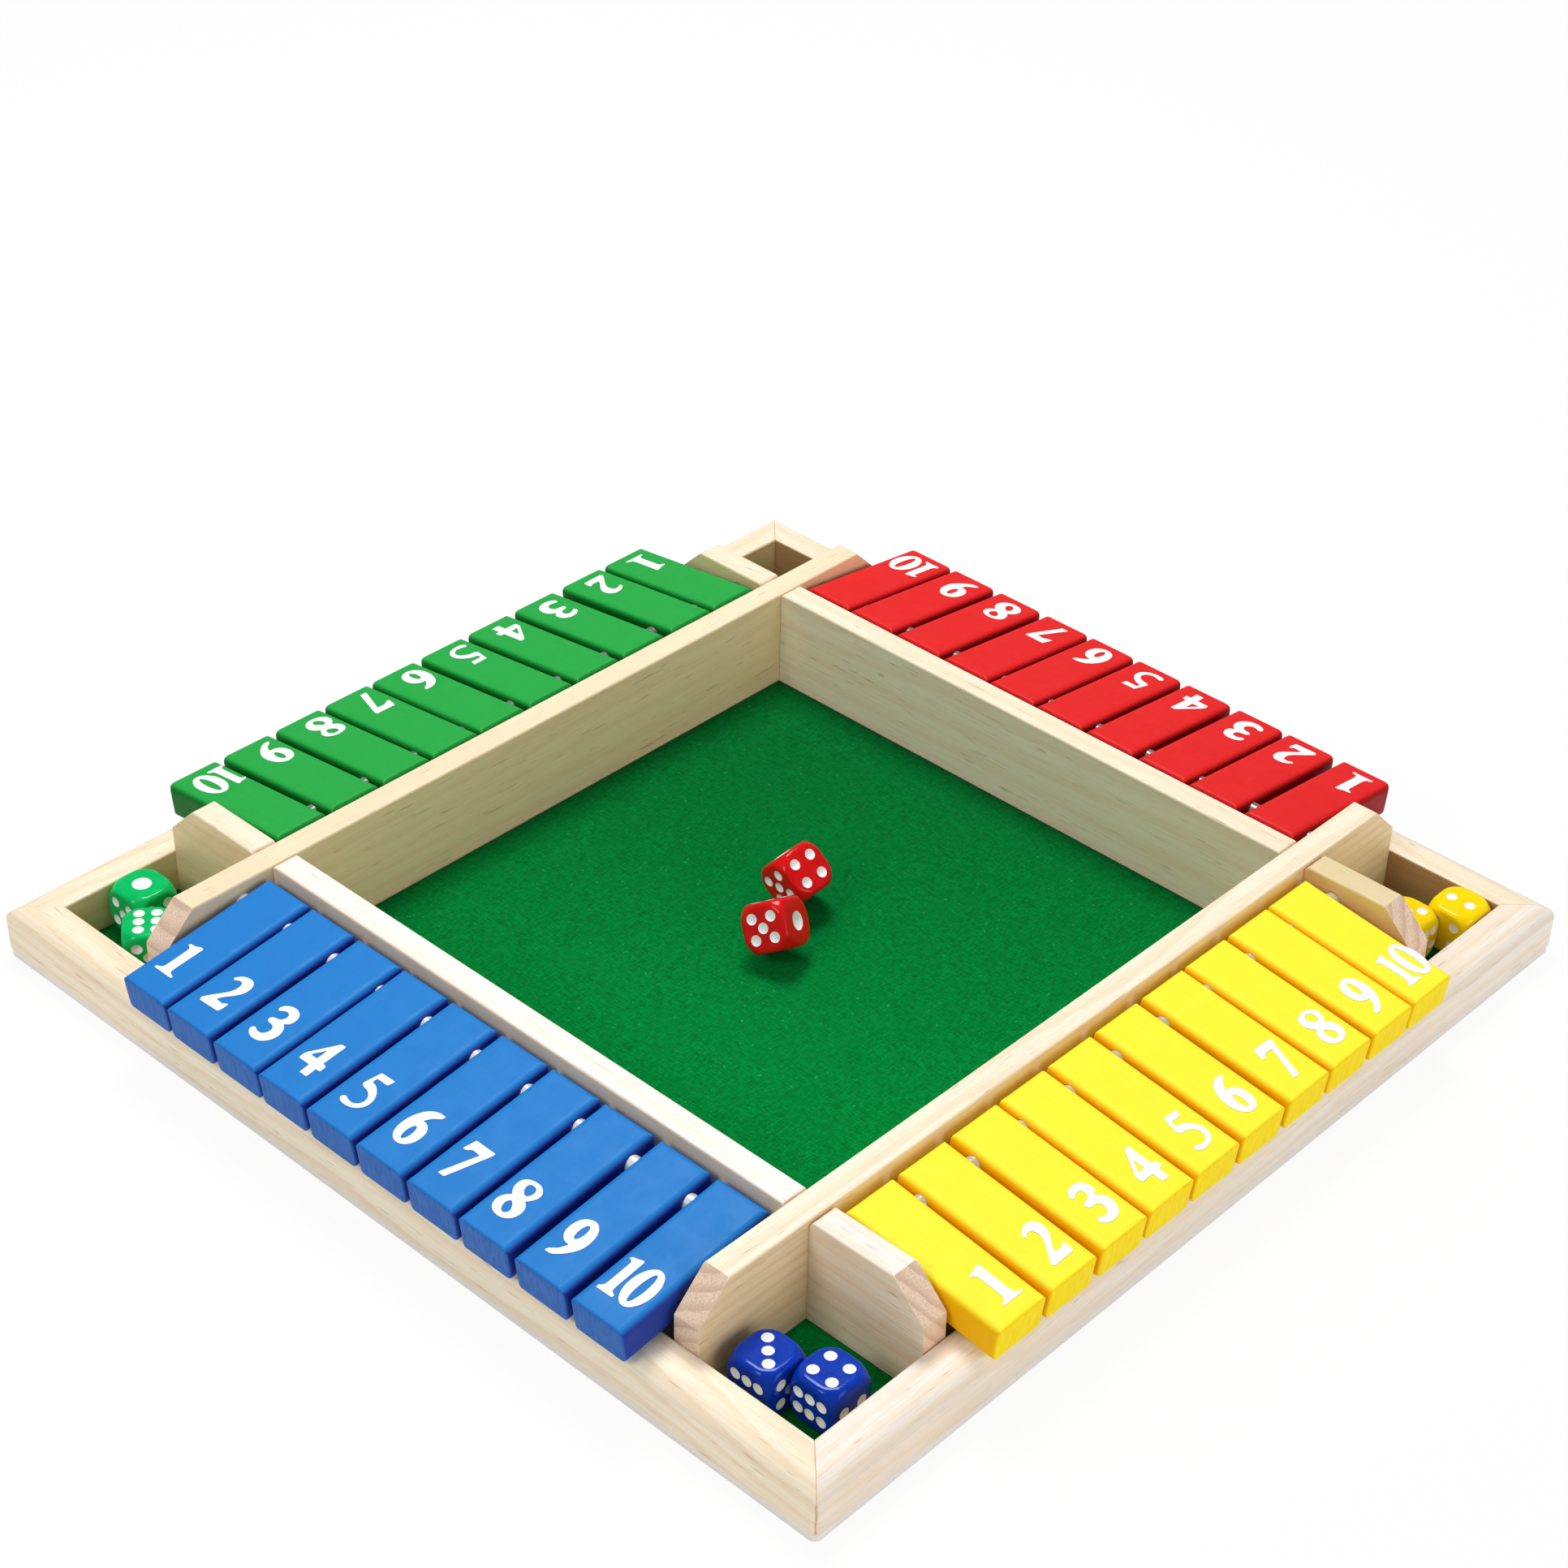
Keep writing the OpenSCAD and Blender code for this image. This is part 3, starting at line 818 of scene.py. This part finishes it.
def off_outline(u, v, half_u, half_v, radius):
    """How far points lie outside a rounded rectangle about the origin, negative inside."""
    over_u = np.abs(u) - half_u + radius
    over_v = np.abs(v) - half_v + radius
    outside = np.hypot(np.maximum(over_u, 0), np.maximum(over_v, 0))
    return outside + np.minimum(np.maximum(over_u, over_v), 0) - radius


def melted(a, b, over):
    """How far points lie outside two shapes' common space, its edge eased over a length."""
    mix = np.clip(0.5 + (a - b) / (2 * over), 0, 1)
    return b + (a - b) * mix + over * mix * (1 - mix)


def settled(path, off, near, far):
    """Where each point's path from near to far leaves a shape, found by halving."""
    for _ in range(HALVINGS):
        middle = (near + far) / 2
        outside = off(path(middle[:, None])) > 0
        far = np.where(outside, middle, far)
        near = np.where(outside, near, middle)
    return path(near[:, None])


def off_block(spots, low, high):
    x, y, z = (spots - (low + high) / 2).T
    half = (high - low) / 2
    section = off_outline(x, z, half[0], half[2], EDGE_ROUND)
    profile = off_outline(y, z, half[1], half[2], np.where(y > 0, ROOT_ROUND, END_ROUND))
    plan = off_outline(x, y, half[0], half[1], CORNER_ROUND)
    return melted(melted(section, profile, EDGE_MELT), plan, EDGE_MELT)


def steps_along(low, high, middle_cells):
    """Fine steps near both ends, one thin step inside each, and wide ones between."""
    fine = np.linspace(0, BORDER, BORDER_CELLS + 1)
    wide = np.linspace(low + BORDER + SLIVER, high - BORDER - SLIVER, middle_cells + 1)
    return np.concatenate((low + fine, wide, high - fine[::-1]))


def box_skin(*steps):
    """A box's skin as quads, with its own steps along each axis."""
    index, spots, quads = {}, [], []

    def corner(key):
        if key not in index:
            index[key] = len(spots)
            spots.append([steps[axis][key[axis]] for axis in range(3)])
        return index[key]

    for axis in range(3):
        u, v = (axis + 1) % 3, (axis + 2) % 3
        for side in (0, len(steps[axis]) - 1):
            for i in range(len(steps[u]) - 1):
                for j in range(len(steps[v]) - 1):
                    ring = []
                    for du, dv in ((0, 0), (1, 0), (1, 1), (0, 1)):
                        key = {axis: side, u: i + du, v: j + dv}
                        ring.append(corner((key[0], key[1], key[2])))
                    quads.append(ring if side else ring[::-1])
    return np.array(spots), quads


def tile_block(low, high):
    steps = [steps_along(low[axis], high[axis], cells) for axis, cells in enumerate((3, 14, 2))]
    skin, quads = box_skin(*steps)
    roots = np.clip(skin, low + BORDER, high - BORDER)
    spots = settled(lambda share: roots + (skin - roots) * share,
                    lambda spots: off_block(spots, low, high), np.zeros(len(skin)), np.ones(len(skin)))
    mesh = bpy.data.meshes.new("tile block")
    mesh.from_pydata((spots * MM).tolist(), [], quads)
    return smooth(mesh)


tile_low, tile_high = block_size("blue_tile_1")
print("a tile is", [round(float(v), 2) for v in tile_high - tile_low], "mm")

# %% Bored tiles
RUN_GAP = 0.1 * MM         # between the rod and its bore, all round


def bored_tree():
    tree = Growth("bored tile", Bore_radius=2.6 * MM, Tile_width=17.6 * MM, Sides=48, Coat="Material",
                  Bare_wood="Material")
    given = tree.given
    drill = tree.shape("MeshCylinder", {
        "Vertices": given["Sides"], "Radius": given["Bore radius"],
        "Depth": tree.times(given["Tile width"], 1.2),
    }, fill_type="NGON")
    lying = tree.shape("Transform", {
        "Geometry": drill, "Translation": tree.join(tree.times(given["Tile width"], 0.5)),
        "Rotation": (0, math.pi / 2, 0),
    })
    drill = tree.dress(lying, given["Bare wood"])
    return tree.cut(given["Geometry"], drill, given["Bare wood"], given["Coat"])


raw_coat = bpy.data.materials.new("raw coat")
bare_bore = two_tone("bare bore", 0.7, 900, 2.0, chart(244, 228, 200), chart(214, 188, 150))
tile_mesh = smooth(grown(tile_block(tile_low, tile_high), bored_tree(), {
    "Bore radius": rod_radius + RUN_GAP, "Tile width": float(tile_high[0]) * MM,
    "Coat": raw_coat, "Bare wood": bare_bore,
}))
tile_mesh.set_sharp_from_angle(angle=math.radians(30))
tile_slots = [material.name for material in tile_mesh.materials]
for row, colour in enumerate(ROWS):
    coat = paint(colour, "X" if row % 2 == 0 else "Y")
    for number in range(1, TILES_IN_ROW + 1):
        node = f"{colour}_tile_{number}"
        mesh = tile_mesh.copy()
        mesh.transform(tile_frames[node])
        mesh.materials[tile_slots.index("raw coat")] = coat
        place(new_object("painted_" + node, mesh), node, colour + "_paint", node)
print("each tile has", len(tile_mesh.polygons), "faces and finishes", tile_slots)

# %% [markdown]
# ## Numerals
#
# The numbers are screen printed in thick white ink, in a bold old-style face: heavy stems, thin
# joins, soft corners. No font is used. Each figure is an outline of a few points in millimetres, from
# the middle of its foot. A run between two points is straight. A third value says how far from a
# point its corner begins to round, and without one it rounds from halfway, so a ring of such points
# is a smooth bowl. The outline is filled flat, given a film's thickness, made a mesh, and laid on its
# tile. Every row was printed by its own screen, so its numbers stand a little differently on the tiles.

# %% Figures
FIGURES = {
    1: [[(-3.2, 11.4, .3), (-2.9, 12.0, .3), (-0.8, 12.2), (0.2, 12.95, .5), (1.6, 12.9, .4),
         (1.45, 2.6, 1.2), (1.7, 1.2, 1.0), (3.6, 0.75, .3), (3.5, 0, .3), (-3.55, 0, .3),
         (-3.55, 0.75, .3), (-1.9, 1.3, 1.0), (-1.55, 2.6, 1.0), (-1.6, 10.3, .8), (-2.0, 10.9, .4)]],
    2: [[(-2.95, 11.25, .3), (-1.6, 13.0), (0.5, 13.85), (2.9, 13.6), (4.25, 11.6), (4.0, 8.7),
         (2.0, 6.1), (0.3, 4.3), (-0.2, 3.0, .25), (2.6, 2.9, .5), (3.2, 3.6, .3), (3.95, 3.75, .3),
         (3.95, 1.5, .8), (3.6, 0.25, .4), (-3.6, 0, .4), (-4.1, 0.9, .4), (-2.7, 3.1),
         (-0.3, 6.0), (1.05, 8.3), (1.0, 10.6), (0.1, 11.6), (-1.2, 11.4), (-2.2, 10.65, .3)]],
    3: [[(-3.95, 11.7, .5), (-3.3, 13.3), (-1.3, 14.4), (0.9, 14.45), (2.9, 13.3), (3.6, 11.2),
         (3.1, 9.3), (1.75, 8.6, .4), (3.3, 7.5), (4.25, 5.4), (3.8, 2.6), (1.9, 0.4),
         (-0.9, -0.2), (-3.3, 0.6), (-4.35, 2.2, .8), (-3.5, 3.25, .6), (-1.8, 2.4), (-0.2, 2.5),
         (0.95, 4.0), (0.75, 5.8), (-0.6, 6.5), (-2.4, 6.5), (-3.2, 7.6), (-2.2, 8.7),
         (-0.4, 8.8), (0.65, 10.0), (0.5, 11.7), (-0.9, 12.2), (-2.2, 11.7), (-3.2, 10.9, .5)]],
    4: [[(1.15, 13.6, .5), (2.75, 13.75, .5), (2.75, 5.75, .4), (4.2, 5.7, .6), (4.3, 3.4, .5),
         (2.75, 3.35, .3), (2.8, 0, .4), (0.1, 0, .4), (0.0, 3.35, .3), (-4.1, 3.3, .6),
         (-4.3, 5.4, 1.2)],
        [(-0.05, 9.7, .4), (0.0, 6.05, .3), (-2.55, 6.0, .5)]],
    5: [[(-1.9, 13.6, .4), (3.2, 13.7, .3), (2.7, 11.5, .5), (-1.3, 11.5, .5), (-1.4, 9.9, .4),
         (0.6, 9.6), (3.0, 7.6), (4.2, 5.2), (3.9, 2.6), (2.0, 0.6), (-0.6, -0.1), (-3.0, 0.1),
         (-4.2, 1.3, .7), (-3.2, 2.5, .6), (-1.8, 1.8), (0.3, 1.5), (1.9, 2.7), (2.4, 4.3),
         (1.6, 6.0), (-0.3, 7.2), (-2.3, 7.3), (-3.1, 8.2, .5)]],
    6: [[(3.55, 13.85, .3), (3.3, 12.7, .4), (1.2, 11.3), (-0.1, 9.3, .3), (1.6, 9.2), (3.6, 7.6),
         (4.15, 4.9), (3.6, 2.0), (1.4, 0), (-1.4, 0), (-3.5, 2.0), (-4.2, 5.3), (-3.7, 8.9),
         (-2.0, 12.2), (0.7, 13.9)],
        "oval", (0.0, 4.3, 1.05, 2.6)],
    7: [[(-3.2, 13.55, .4), (3.95, 13.45, .4), (3.8, 12.2, .8), (-0.65, 0, .3), (-2.9, 0, .4),
         (-2.75, 0.6, .4), (1.2, 10.55, .3), (-1.5, 10.75, .6), (-3.0, 9.6, .3), (-4.05, 9.55, .3),
         (-3.9, 10.6, .6)]],
    8: [[(-1.0, 13.7), (1.6, 13.7), (3.7, 12.2), (4.1, 10.2), (2.8, 8.1), (2.05, 7.5, .4),
         (3.5, 6.5), (4.35, 4.6), (3.9, 1.9), (1.8, 0.1), (-1.2, -0.1), (-3.7, 1.2), (-4.5, 3.7),
         (-3.8, 5.8), (-2.3, 7.1, .4), (-3.7, 8.6), (-4.2, 11.0), (-3.2, 12.9)],
        [(-0.9, 12.4), (1.4, 12.3), (2.1, 10.4), (1.0, 8.4), (-0.9, 9.7), (-1.5, 11.3)],
        [(-1.0, 5.8), (0.3, 4.9), (1.6, 2.9), (0.5, 1.4), (-1.0, 1.9), (-1.9, 4.2)]],
    9: [[(-1.0, 14.2), (1.2, 14.2), (3.2, 12.3), (4.15, 8.9), (3.7, 5.3), (1.5, 2.1),
         (-1.2, -0.1, 1.2), (-3.4, 0.0, .4), (-2.9, 1.1, .5), (-0.9, 2.5), (0.15, 4.9, .4),
         (-1.9, 5.0), (-3.7, 6.8), (-4.2, 9.6), (-3.3, 12.8)],
        "oval", (-0.1, 9.65, 1.05, 2.6)],
    10: [[(-6.7, 11.6, .3), (-6.2, 12.3, .4), (-4.4, 12.7), (-3.2, 13.2, .4), (-2.75, 12.9, .4),
          (-2.65, 2.6, 1.0), (-2.4, 1.5, .8), (-1.0, 0.9, .3), (-1.1, 0.1, .3), (-6.4, 0, .3),
          (-6.5, 0.9, .4), (-5.5, 1.6, .6), (-5.25, 2.8, .8), (-5.3, 10.8, .6), (-5.7, 11.3, .4)],
         "oval", (2.5, 6.75, 4.03, 6.8), "oval", (2.6, 6.8, 1.22, 5.15)],
}
CORNER_STEPS = 6


def oval(x, y, half_wide, half_high, sides=8):
    """Corner points whose rounding from halfway to halfway gives an ellipse."""
    grow = 1 / math.cos(math.pi / sides)
    angles = [math.tau * (k + 0.5) / sides for k in range(sides)]
    return [(x + grow * half_wide * math.cos(a), y + grow * half_high * math.sin(a)) for a in angles]


def contours(figure):
    """A figure's outlines, with each oval worked out."""
    made, items = [], iter(figure)
    for item in items:
        made.append(oval(*next(items)) if item == "oval" else item)
    return made


def rounded(points):
    """The outline with its corners rounded by short curves."""
    outline = []
    count = len(points)
    for k, point in enumerate(points):
        here = Vector(point[:2])
        to_last = Vector(points[k - 1][:2]) - here
        to_next = Vector(points[(k + 1) % count][:2]) - here
        reach = point[2] if len(point) > 2 else math.inf
        start = here + to_last.normalized() * min(reach, to_last.length / 2)
        stop = here + to_next.normalized() * min(reach, to_next.length / 2)
        for step in range(CORNER_STEPS + 1):
            t = step / CORNER_STEPS
            spot = start * (1 - t) ** 2 + here * 2 * t * (1 - t) + stop * t * t
            if not outline or (spot - outline[-1]).length > 1e-4:
                outline.append(spot)
    if (outline[0] - outline[-1]).length < 1e-4:
        outline.pop()
    return outline


FIGURE_SIZE = 0.95         # of the outlines above, as printed
INK_FILM = 0.07            # mm above the paint
INK_ROOT = 0.03            # mm below its surface, so that no gap shows


def figure_mesh(number):
    """The figure as a thin closed mesh, in metres, its foot's middle at the origin."""
    curve = bpy.data.curves.new(f"figure {number}", "CURVE")
    curve.dimensions = "2D"
    curve.fill_mode = "BOTH"
    curve.extrude = (INK_FILM + INK_ROOT) / 2
    for outline in contours(FIGURES[number]):
        points = rounded(outline)
        spline = curve.splines.new("POLY")
        spline.points.add(len(points) - 1)
        for knot, spot in zip(spline.points, points):
            knot.co = (spot.x, spot.y, 0, 1)
        spline.use_cyclic_u = True
    carrier = new_object("figure carrier", curve)
    mesh = evaluated_mesh(carrier)
    bpy.data.objects.remove(carrier)
    bpy.data.curves.remove(curve)
    lift = Matrix.Translation((0, 0, (INK_FILM - INK_ROOT) / 2))
    mesh.transform(Matrix.Diagonal((FIGURE_SIZE * MM, FIGURE_SIZE * MM, MM, 1)) @ lift)
    work = bmesh.new()
    work.from_mesh(mesh)
    bmesh.ops.remove_doubles(work, verts=work.verts, dist=SAME_SPOT)
    bmesh.ops.recalc_face_normals(work, faces=work.faces)
    return as_mesh(work, f"figure {number}")


figures = {number: figure_mesh(number) for number in FIGURES}
for number, mesh in figures.items():
    wide = [vert.co.x / MM for vert in mesh.vertices]
    print("figure", number, "is", round(max(wide) - min(wide), 1), "mm wide,", len(mesh.polygons), "faces")

# %% Ink and printing
PRINTED = {
    # row: (how far out from the rod the first figure's foot stands, how much further each next one,
    #       and for figures 1 to 10 their middle from the tile's left edge), in mm
    "blue": (32.9, 0.15, (7.7, 8.6, 8.6, 8.5, 8.3, 8.2, 7.7, 7.5, 7.7, 8.9)),
    "yellow": (35.8, 0.0, (10.4, 10.1, 10.1, 9.9, 9.8, 9.4, 10.1, 9.9, 9.5, 10.4)),
    "red": (36.8, 0.0, (7.4, 8.0, 8.1, 8.1, 7.7, 8.0, 8.4, 7.8, 7.1, 8.7)),
    "green": (36.6, 0.0, (8.0, 7.8, 8.6, 7.8, 7.2, 7.0, 7.2, 6.8, 6.8, 7.9)),
}
white_ink = two_tone("white ink", 0.5, 900, 2.0, chart(250, 250, 250), chart(238, 240, 242), 0.04 * MM)
for colour, (foot, further, middles) in PRINTED.items():
    for number, middle in enumerate(middles, start=1):
        node = f"{colour}_tile_{number}"
        at = Vector((middle, -(foot + further * (number - 1)), tile_high[2])) * MM
        mesh = figures[number].copy()
        mesh.transform(tile_frames[node] @ Matrix.Translation(at))
        mesh.materials.append(white_ink)
        place(new_object(f"{colour}_number_{number}", mesh), node, colour + "_paint")
print("printed", len(PRINTED) * TILES_IN_ROW, "numbers")

# %% [markdown]
# ## Dice
#
# Each player has two moulded dice, fourteen millimetres across, with strongly rounded corners, soft
# edges and round dimples filled with white. A die is the space common to a soft-edged cube and a
# ball. Each point of a fine cube grid is pushed out along its own direction until it meets that
# surface, found by halving. The dimples repeat by a rule, so a tree puts a ball on each pip's place
# and cuts them all out at once. The white comes with the ball, and stays on what it leaves behind.

# %% Die body
DIE = 14.0                 # mm across the flats
DIE_BALL = 19.6            # mm, the ball that rounds the corners
DIE_EDGE = 1.3             # mm, radius of the softened edges
CORNER_MELT = 0.5          # mm over which ball and cube flow together
DIE_CELLS = 22


def beyond(points):
    """How far each point lies outside the die, in mm, negative inside."""
    inner = DIE / 2 - DIE_EDGE
    over = np.maximum(np.abs(points) - inner, 0)
    cube = np.linalg.norm(over, axis=1) - DIE_EDGE
    cube = np.where(over.any(axis=1), cube, np.abs(points).max(axis=1) - DIE / 2)
    ball = np.linalg.norm(points, axis=1) - DIE_BALL / 2
    return melted(cube, ball, CORNER_MELT)


def die_body():
    work = bmesh.new()
    bmesh.ops.create_cube(work, size=DIE)
    bmesh.ops.subdivide_edges(work, edges=work.edges, cuts=DIE_CELLS - 1, use_grid_fill=True)
    grid = np.array([vert.co for vert in work.verts])
    near, far = np.full(len(grid), 0.5), np.full(len(grid), 1.2)
    for vert, spot in zip(work.verts, settled(lambda share: grid * share, beyond, near, far) * MM):
        vert.co = spot
    return as_mesh(work, "die body")


PIP = 3.1                  # mm across a dimple
BIG_PIP = 5.4              # and across the single one
PIP_DEEP = 0.8
PIP_OFF = 2.95             # from the middle of a face, both ways
SIX_LONG = 3.6
SIX_SHORT = 2.35
FACE_TURNS = {4: (0, 0, 0), 3: (180, 0, 0), 6: (90, 0, 0), 1: (-90, 0, 0), 2: (90, 0, 90), 5: (90, 0, -90)}


def turned(degrees):
    return Euler([math.radians(d) for d in degrees], "XYZ").to_matrix()


def pip_spots(count):
    corners = [(x * PIP_OFF, y * PIP_OFF) for x in (-1, 1) for y in (-1, 1)]
    return {
        1: [(0, 0)],
        2: [(-PIP_OFF, 0), (PIP_OFF, 0)],
        3: [(-PIP_OFF, PIP_OFF), (0, 0), (PIP_OFF, -PIP_OFF)],
        4: corners,
        5: corners + [(0, 0)],
        6: [(x * SIX_LONG, y * SIX_SHORT) for x in (-1, 0, 1) for y in (-1, 1)],
    }[count]


def pip_marks():
    """A point for every dimple: the middle of the ball that cuts it, with its radius and direction."""
    mesh = bpy.data.meshes.new("pip marks")
    spots, radii, outs = [], [], []
    for count, turn in FACE_TURNS.items():
        width = BIG_PIP if count == 1 else PIP
        radius = (width * width / 4 + PIP_DEEP * PIP_DEEP) / (2 * PIP_DEEP)
        facing = turned(turn)
        for x, y in pip_spots(count):
            spots.append(facing @ Vector((x, y, DIE / 2 + radius - PIP_DEEP)) * MM)
            radii.append(radius * MM)
            outs.extend(facing @ Vector((0, 0, 1)))
    mesh.from_pydata(spots, [], [])
    mesh.attributes.new("radius_of_cut", "FLOAT", "POINT").data.foreach_set("value", radii)
    mesh.attributes.new("outward", "FLOAT_VECTOR", "POINT").data.foreach_set("vector", outs)
    return new_object("pip_marks", mesh)


# %% Cut the pips
def pip_tree():
    tree = Growth("pips", Pip_marks="Object", Ball_segments=40, Body_material="Material",
                  Pip_material="Material")
    given = tree.given
    marks = tree.add("GeometryNodeObjectInfo", {"Object": given["Pip marks"]})
    ball = tree.shape("MeshUVSphere", {
        "Segments": given["Ball segments"], "Rings": tree.times(given["Ball segments"], 0.6), "Radius": 1.0,
    })
    radius = tree.shape("InputNamedAttribute", {"Name": "radius_of_cut"}, data_type="FLOAT")
    out = tree.shape("InputNamedAttribute", {"Name": "outward"}, data_type="FLOAT_VECTOR")
    facing = tree.add("FunctionNodeAlignRotationToVector", {"Vector": out}, axis="Z")
    balls = tree.shape("InstanceOnPoints", {
        "Points": marks.outputs["Geometry"], "Instance": tree.dress(ball, given["Pip material"]),
        "Rotation": facing.outputs[0], "Scale": radius,
    })
    return tree.cut(given["Geometry"], balls, given["Pip material"], given["Body material"])


def plastic(colour, body, deep):
    """Glossy moulded plastic, its colour drifting a little."""
    shell = Finish(colour + " die plastic", Roughness=0.12, Specular_IOR_Level=0.2)
    shell.colour(shell.wash(body, deep, shell.noise(240), 0.3, 0.7, 0.35))
    shell.roughness(shell.between(shell.noise(1500), 0.3, 0.7, 0.09, 0.16))
    return shell.material


PLASTICS = {
    "blue": (chart(4, 58, 180), chart(2, 40, 144)),
    "yellow": (chart(255, 224, 0), chart(250, 204, 0)),
    "red": (chart(222, 18, 20), chart(178, 8, 12)),
    "green": (chart(0, 196, 104), chart(0, 164, 80)),
}
marks = pip_marks()
blank = bpy.data.materials.new("die blank")
pip_white = two_tone("pip white", 0.3, 1200, 1.0, chart(255, 255, 255), chart(248, 249, 252))
die_mesh = smooth(grown(die_body(), pip_tree(), {
    "Pip marks": marks, "Body material": blank, "Pip material": pip_white,
}))
bpy.data.objects.remove(marks)
die_mesh.set_sharp_from_angle(angle=math.radians(24))
slots = [material.name for material in die_mesh.materials]
print("die", len(die_mesh.polygons), "faces, finishes", slots)

# %% Throw the dice
# The quarter and odd turns that each die came to lie in, about X, then Y, then Z, in degrees
DIE_TURNS = {
    "blue_die_1": (0, 180, 0), "blue_die_2": (0, 0, 0),
    "yellow_die_1": (0, 180, 90), "yellow_die_2": (0, -90, 90),
    "red_die_1": (42.9, -5.7, 89.4), "red_die_2": (150.3, 24.9, 101.6),
    "green_die_1": (90, 0, 90), "green_die_2": (-90, 0, 141),
}
plastics = {colour: plastic(colour, *pair) for colour, pair in PLASTICS.items()}
for node, turn in DIE_TURNS.items():
    low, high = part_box(node)
    mesh = die_mesh.copy()
    mesh.transform(Matrix.Translation((low + high) / 2) @ turned(turn).to_4x4())
    colour = node.split("_")[0]
    mesh.materials[slots.index("die blank")] = plastics[colour]
    place(new_object("cast_" + node, mesh), node, colour + "_die_plastic", node)
print("cast", len(DIE_TURNS), "dice")

# %% [markdown]
# ## The studio
#
# Plain white floor and a soft, even light, as for a catalogue. A wide lamp hangs above and a little
# behind, so that the tops are brightest. A weaker one in front and a low one at the right lift the
# faces towards the eye, and a white surround fills the rest. The floor is white to the camera but
# still takes the board's shadow.

# %% Floor, lamps and surround
FLOOR_HALF = 3.0
FLOOR_GLOW = 0.92          # how much of the floor's own shade gives way to white
SURROUND = 0.26
WHITE = (1, 1, 1, 1)


def mix_by_ray(chain, share, kinds, usual, special, end):
    """Rays of the given kinds see the special shader, as far as its share says."""
    ray = chain.add("ShaderNodeLightPath").outputs
    seen = 0.0
    for kind in kinds:
        seen = chain.math("MAXIMUM", seen, ray[f"Is {kind} Ray"])
    mixed = chain.add("ShaderNodeMixShader", {
        0: chain.times(seen, share), 1: usual.outputs[0], 2: special.outputs[0],
    })
    chain.set(chain.tree.nodes[end].inputs["Surface"], mixed.outputs[0])


def floor_finish():
    floor = Finish("studio floor", Roughness=0.9, Specular_IOR_Level=0.1, Base_Color=(0.9, 0.9, 0.9, 1))
    glow = floor.add("ShaderNodeEmission", {"Color": WHITE, "Strength": 1.0})
    rays = ("Camera", "Glossy", "Transmission")
    mix_by_ray(floor, FLOOR_GLOW, rays, floor.shader, glow, "Material Output")
    return floor.material


floor_mesh = bpy.data.meshes.new("floor")
floor_mesh.from_pydata([(-FLOOR_HALF, -FLOOR_HALF, 0), (FLOOR_HALF, -FLOOR_HALF, 0),
                        (FLOOR_HALF, FLOOR_HALF, 0), (-FLOOR_HALF, FLOOR_HALF, 0)], [], [(0, 1, 2, 3)])
floor = new_object("studio_floor", floor_mesh)
floor.data.materials.append(floor_finish())
floor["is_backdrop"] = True

world = bpy.data.worlds.new("studio")
bpy.context.scene.world = world
world.use_nodes = True
sky = Chain(world.node_tree)
surround = sky.tree.nodes["Background"]
surround.inputs["Color"].default_value = WHITE
surround.inputs["Strength"].default_value = SURROUND
white_back = sky.add("ShaderNodeBackground", {"Color": WHITE, "Strength": 1.0})
mix_by_ray(sky, 1.0, ("Camera", "Transmission"), surround, white_back, "World Output")


def lamp(name, at, size, watts):
    """A square soft light that faces the board."""
    light = bpy.data.lights.new(name, "AREA")
    light.shape = "SQUARE"
    light.size = size
    light.energy = watts
    holder = new_object(name, light)
    holder.location = at
    holder.rotation_euler = (-Vector(at)).to_track_quat("-Z", "Y").to_euler()


LAMPS = {
    # name: (place in m, side in m, watts)
    "overhead": ((-0.42, 0.32, 1.24), 0.5, 12.8),
    "front": ((-0.1, -1.1, 0.95), 0.5, 5.6),
    "low right": ((1.3, 0.0, 0.4), 0.8, 5.4),
}
for name, (at, side, watts) in LAMPS.items():
    lamp(name, at, side, watts)
bpy.context.scene.view_settings.view_transform = "Standard"

# %% Measure and finish
new_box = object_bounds()
sizes = {"cad": [list(corner) for corner in cad_box], "scene": [list(corner) for corner in new_box]}
for label, (low, high) in sizes.items():
    print(label, "is", [round((b - a) / MM, 2) for a, b in zip(low, high)], "mm")
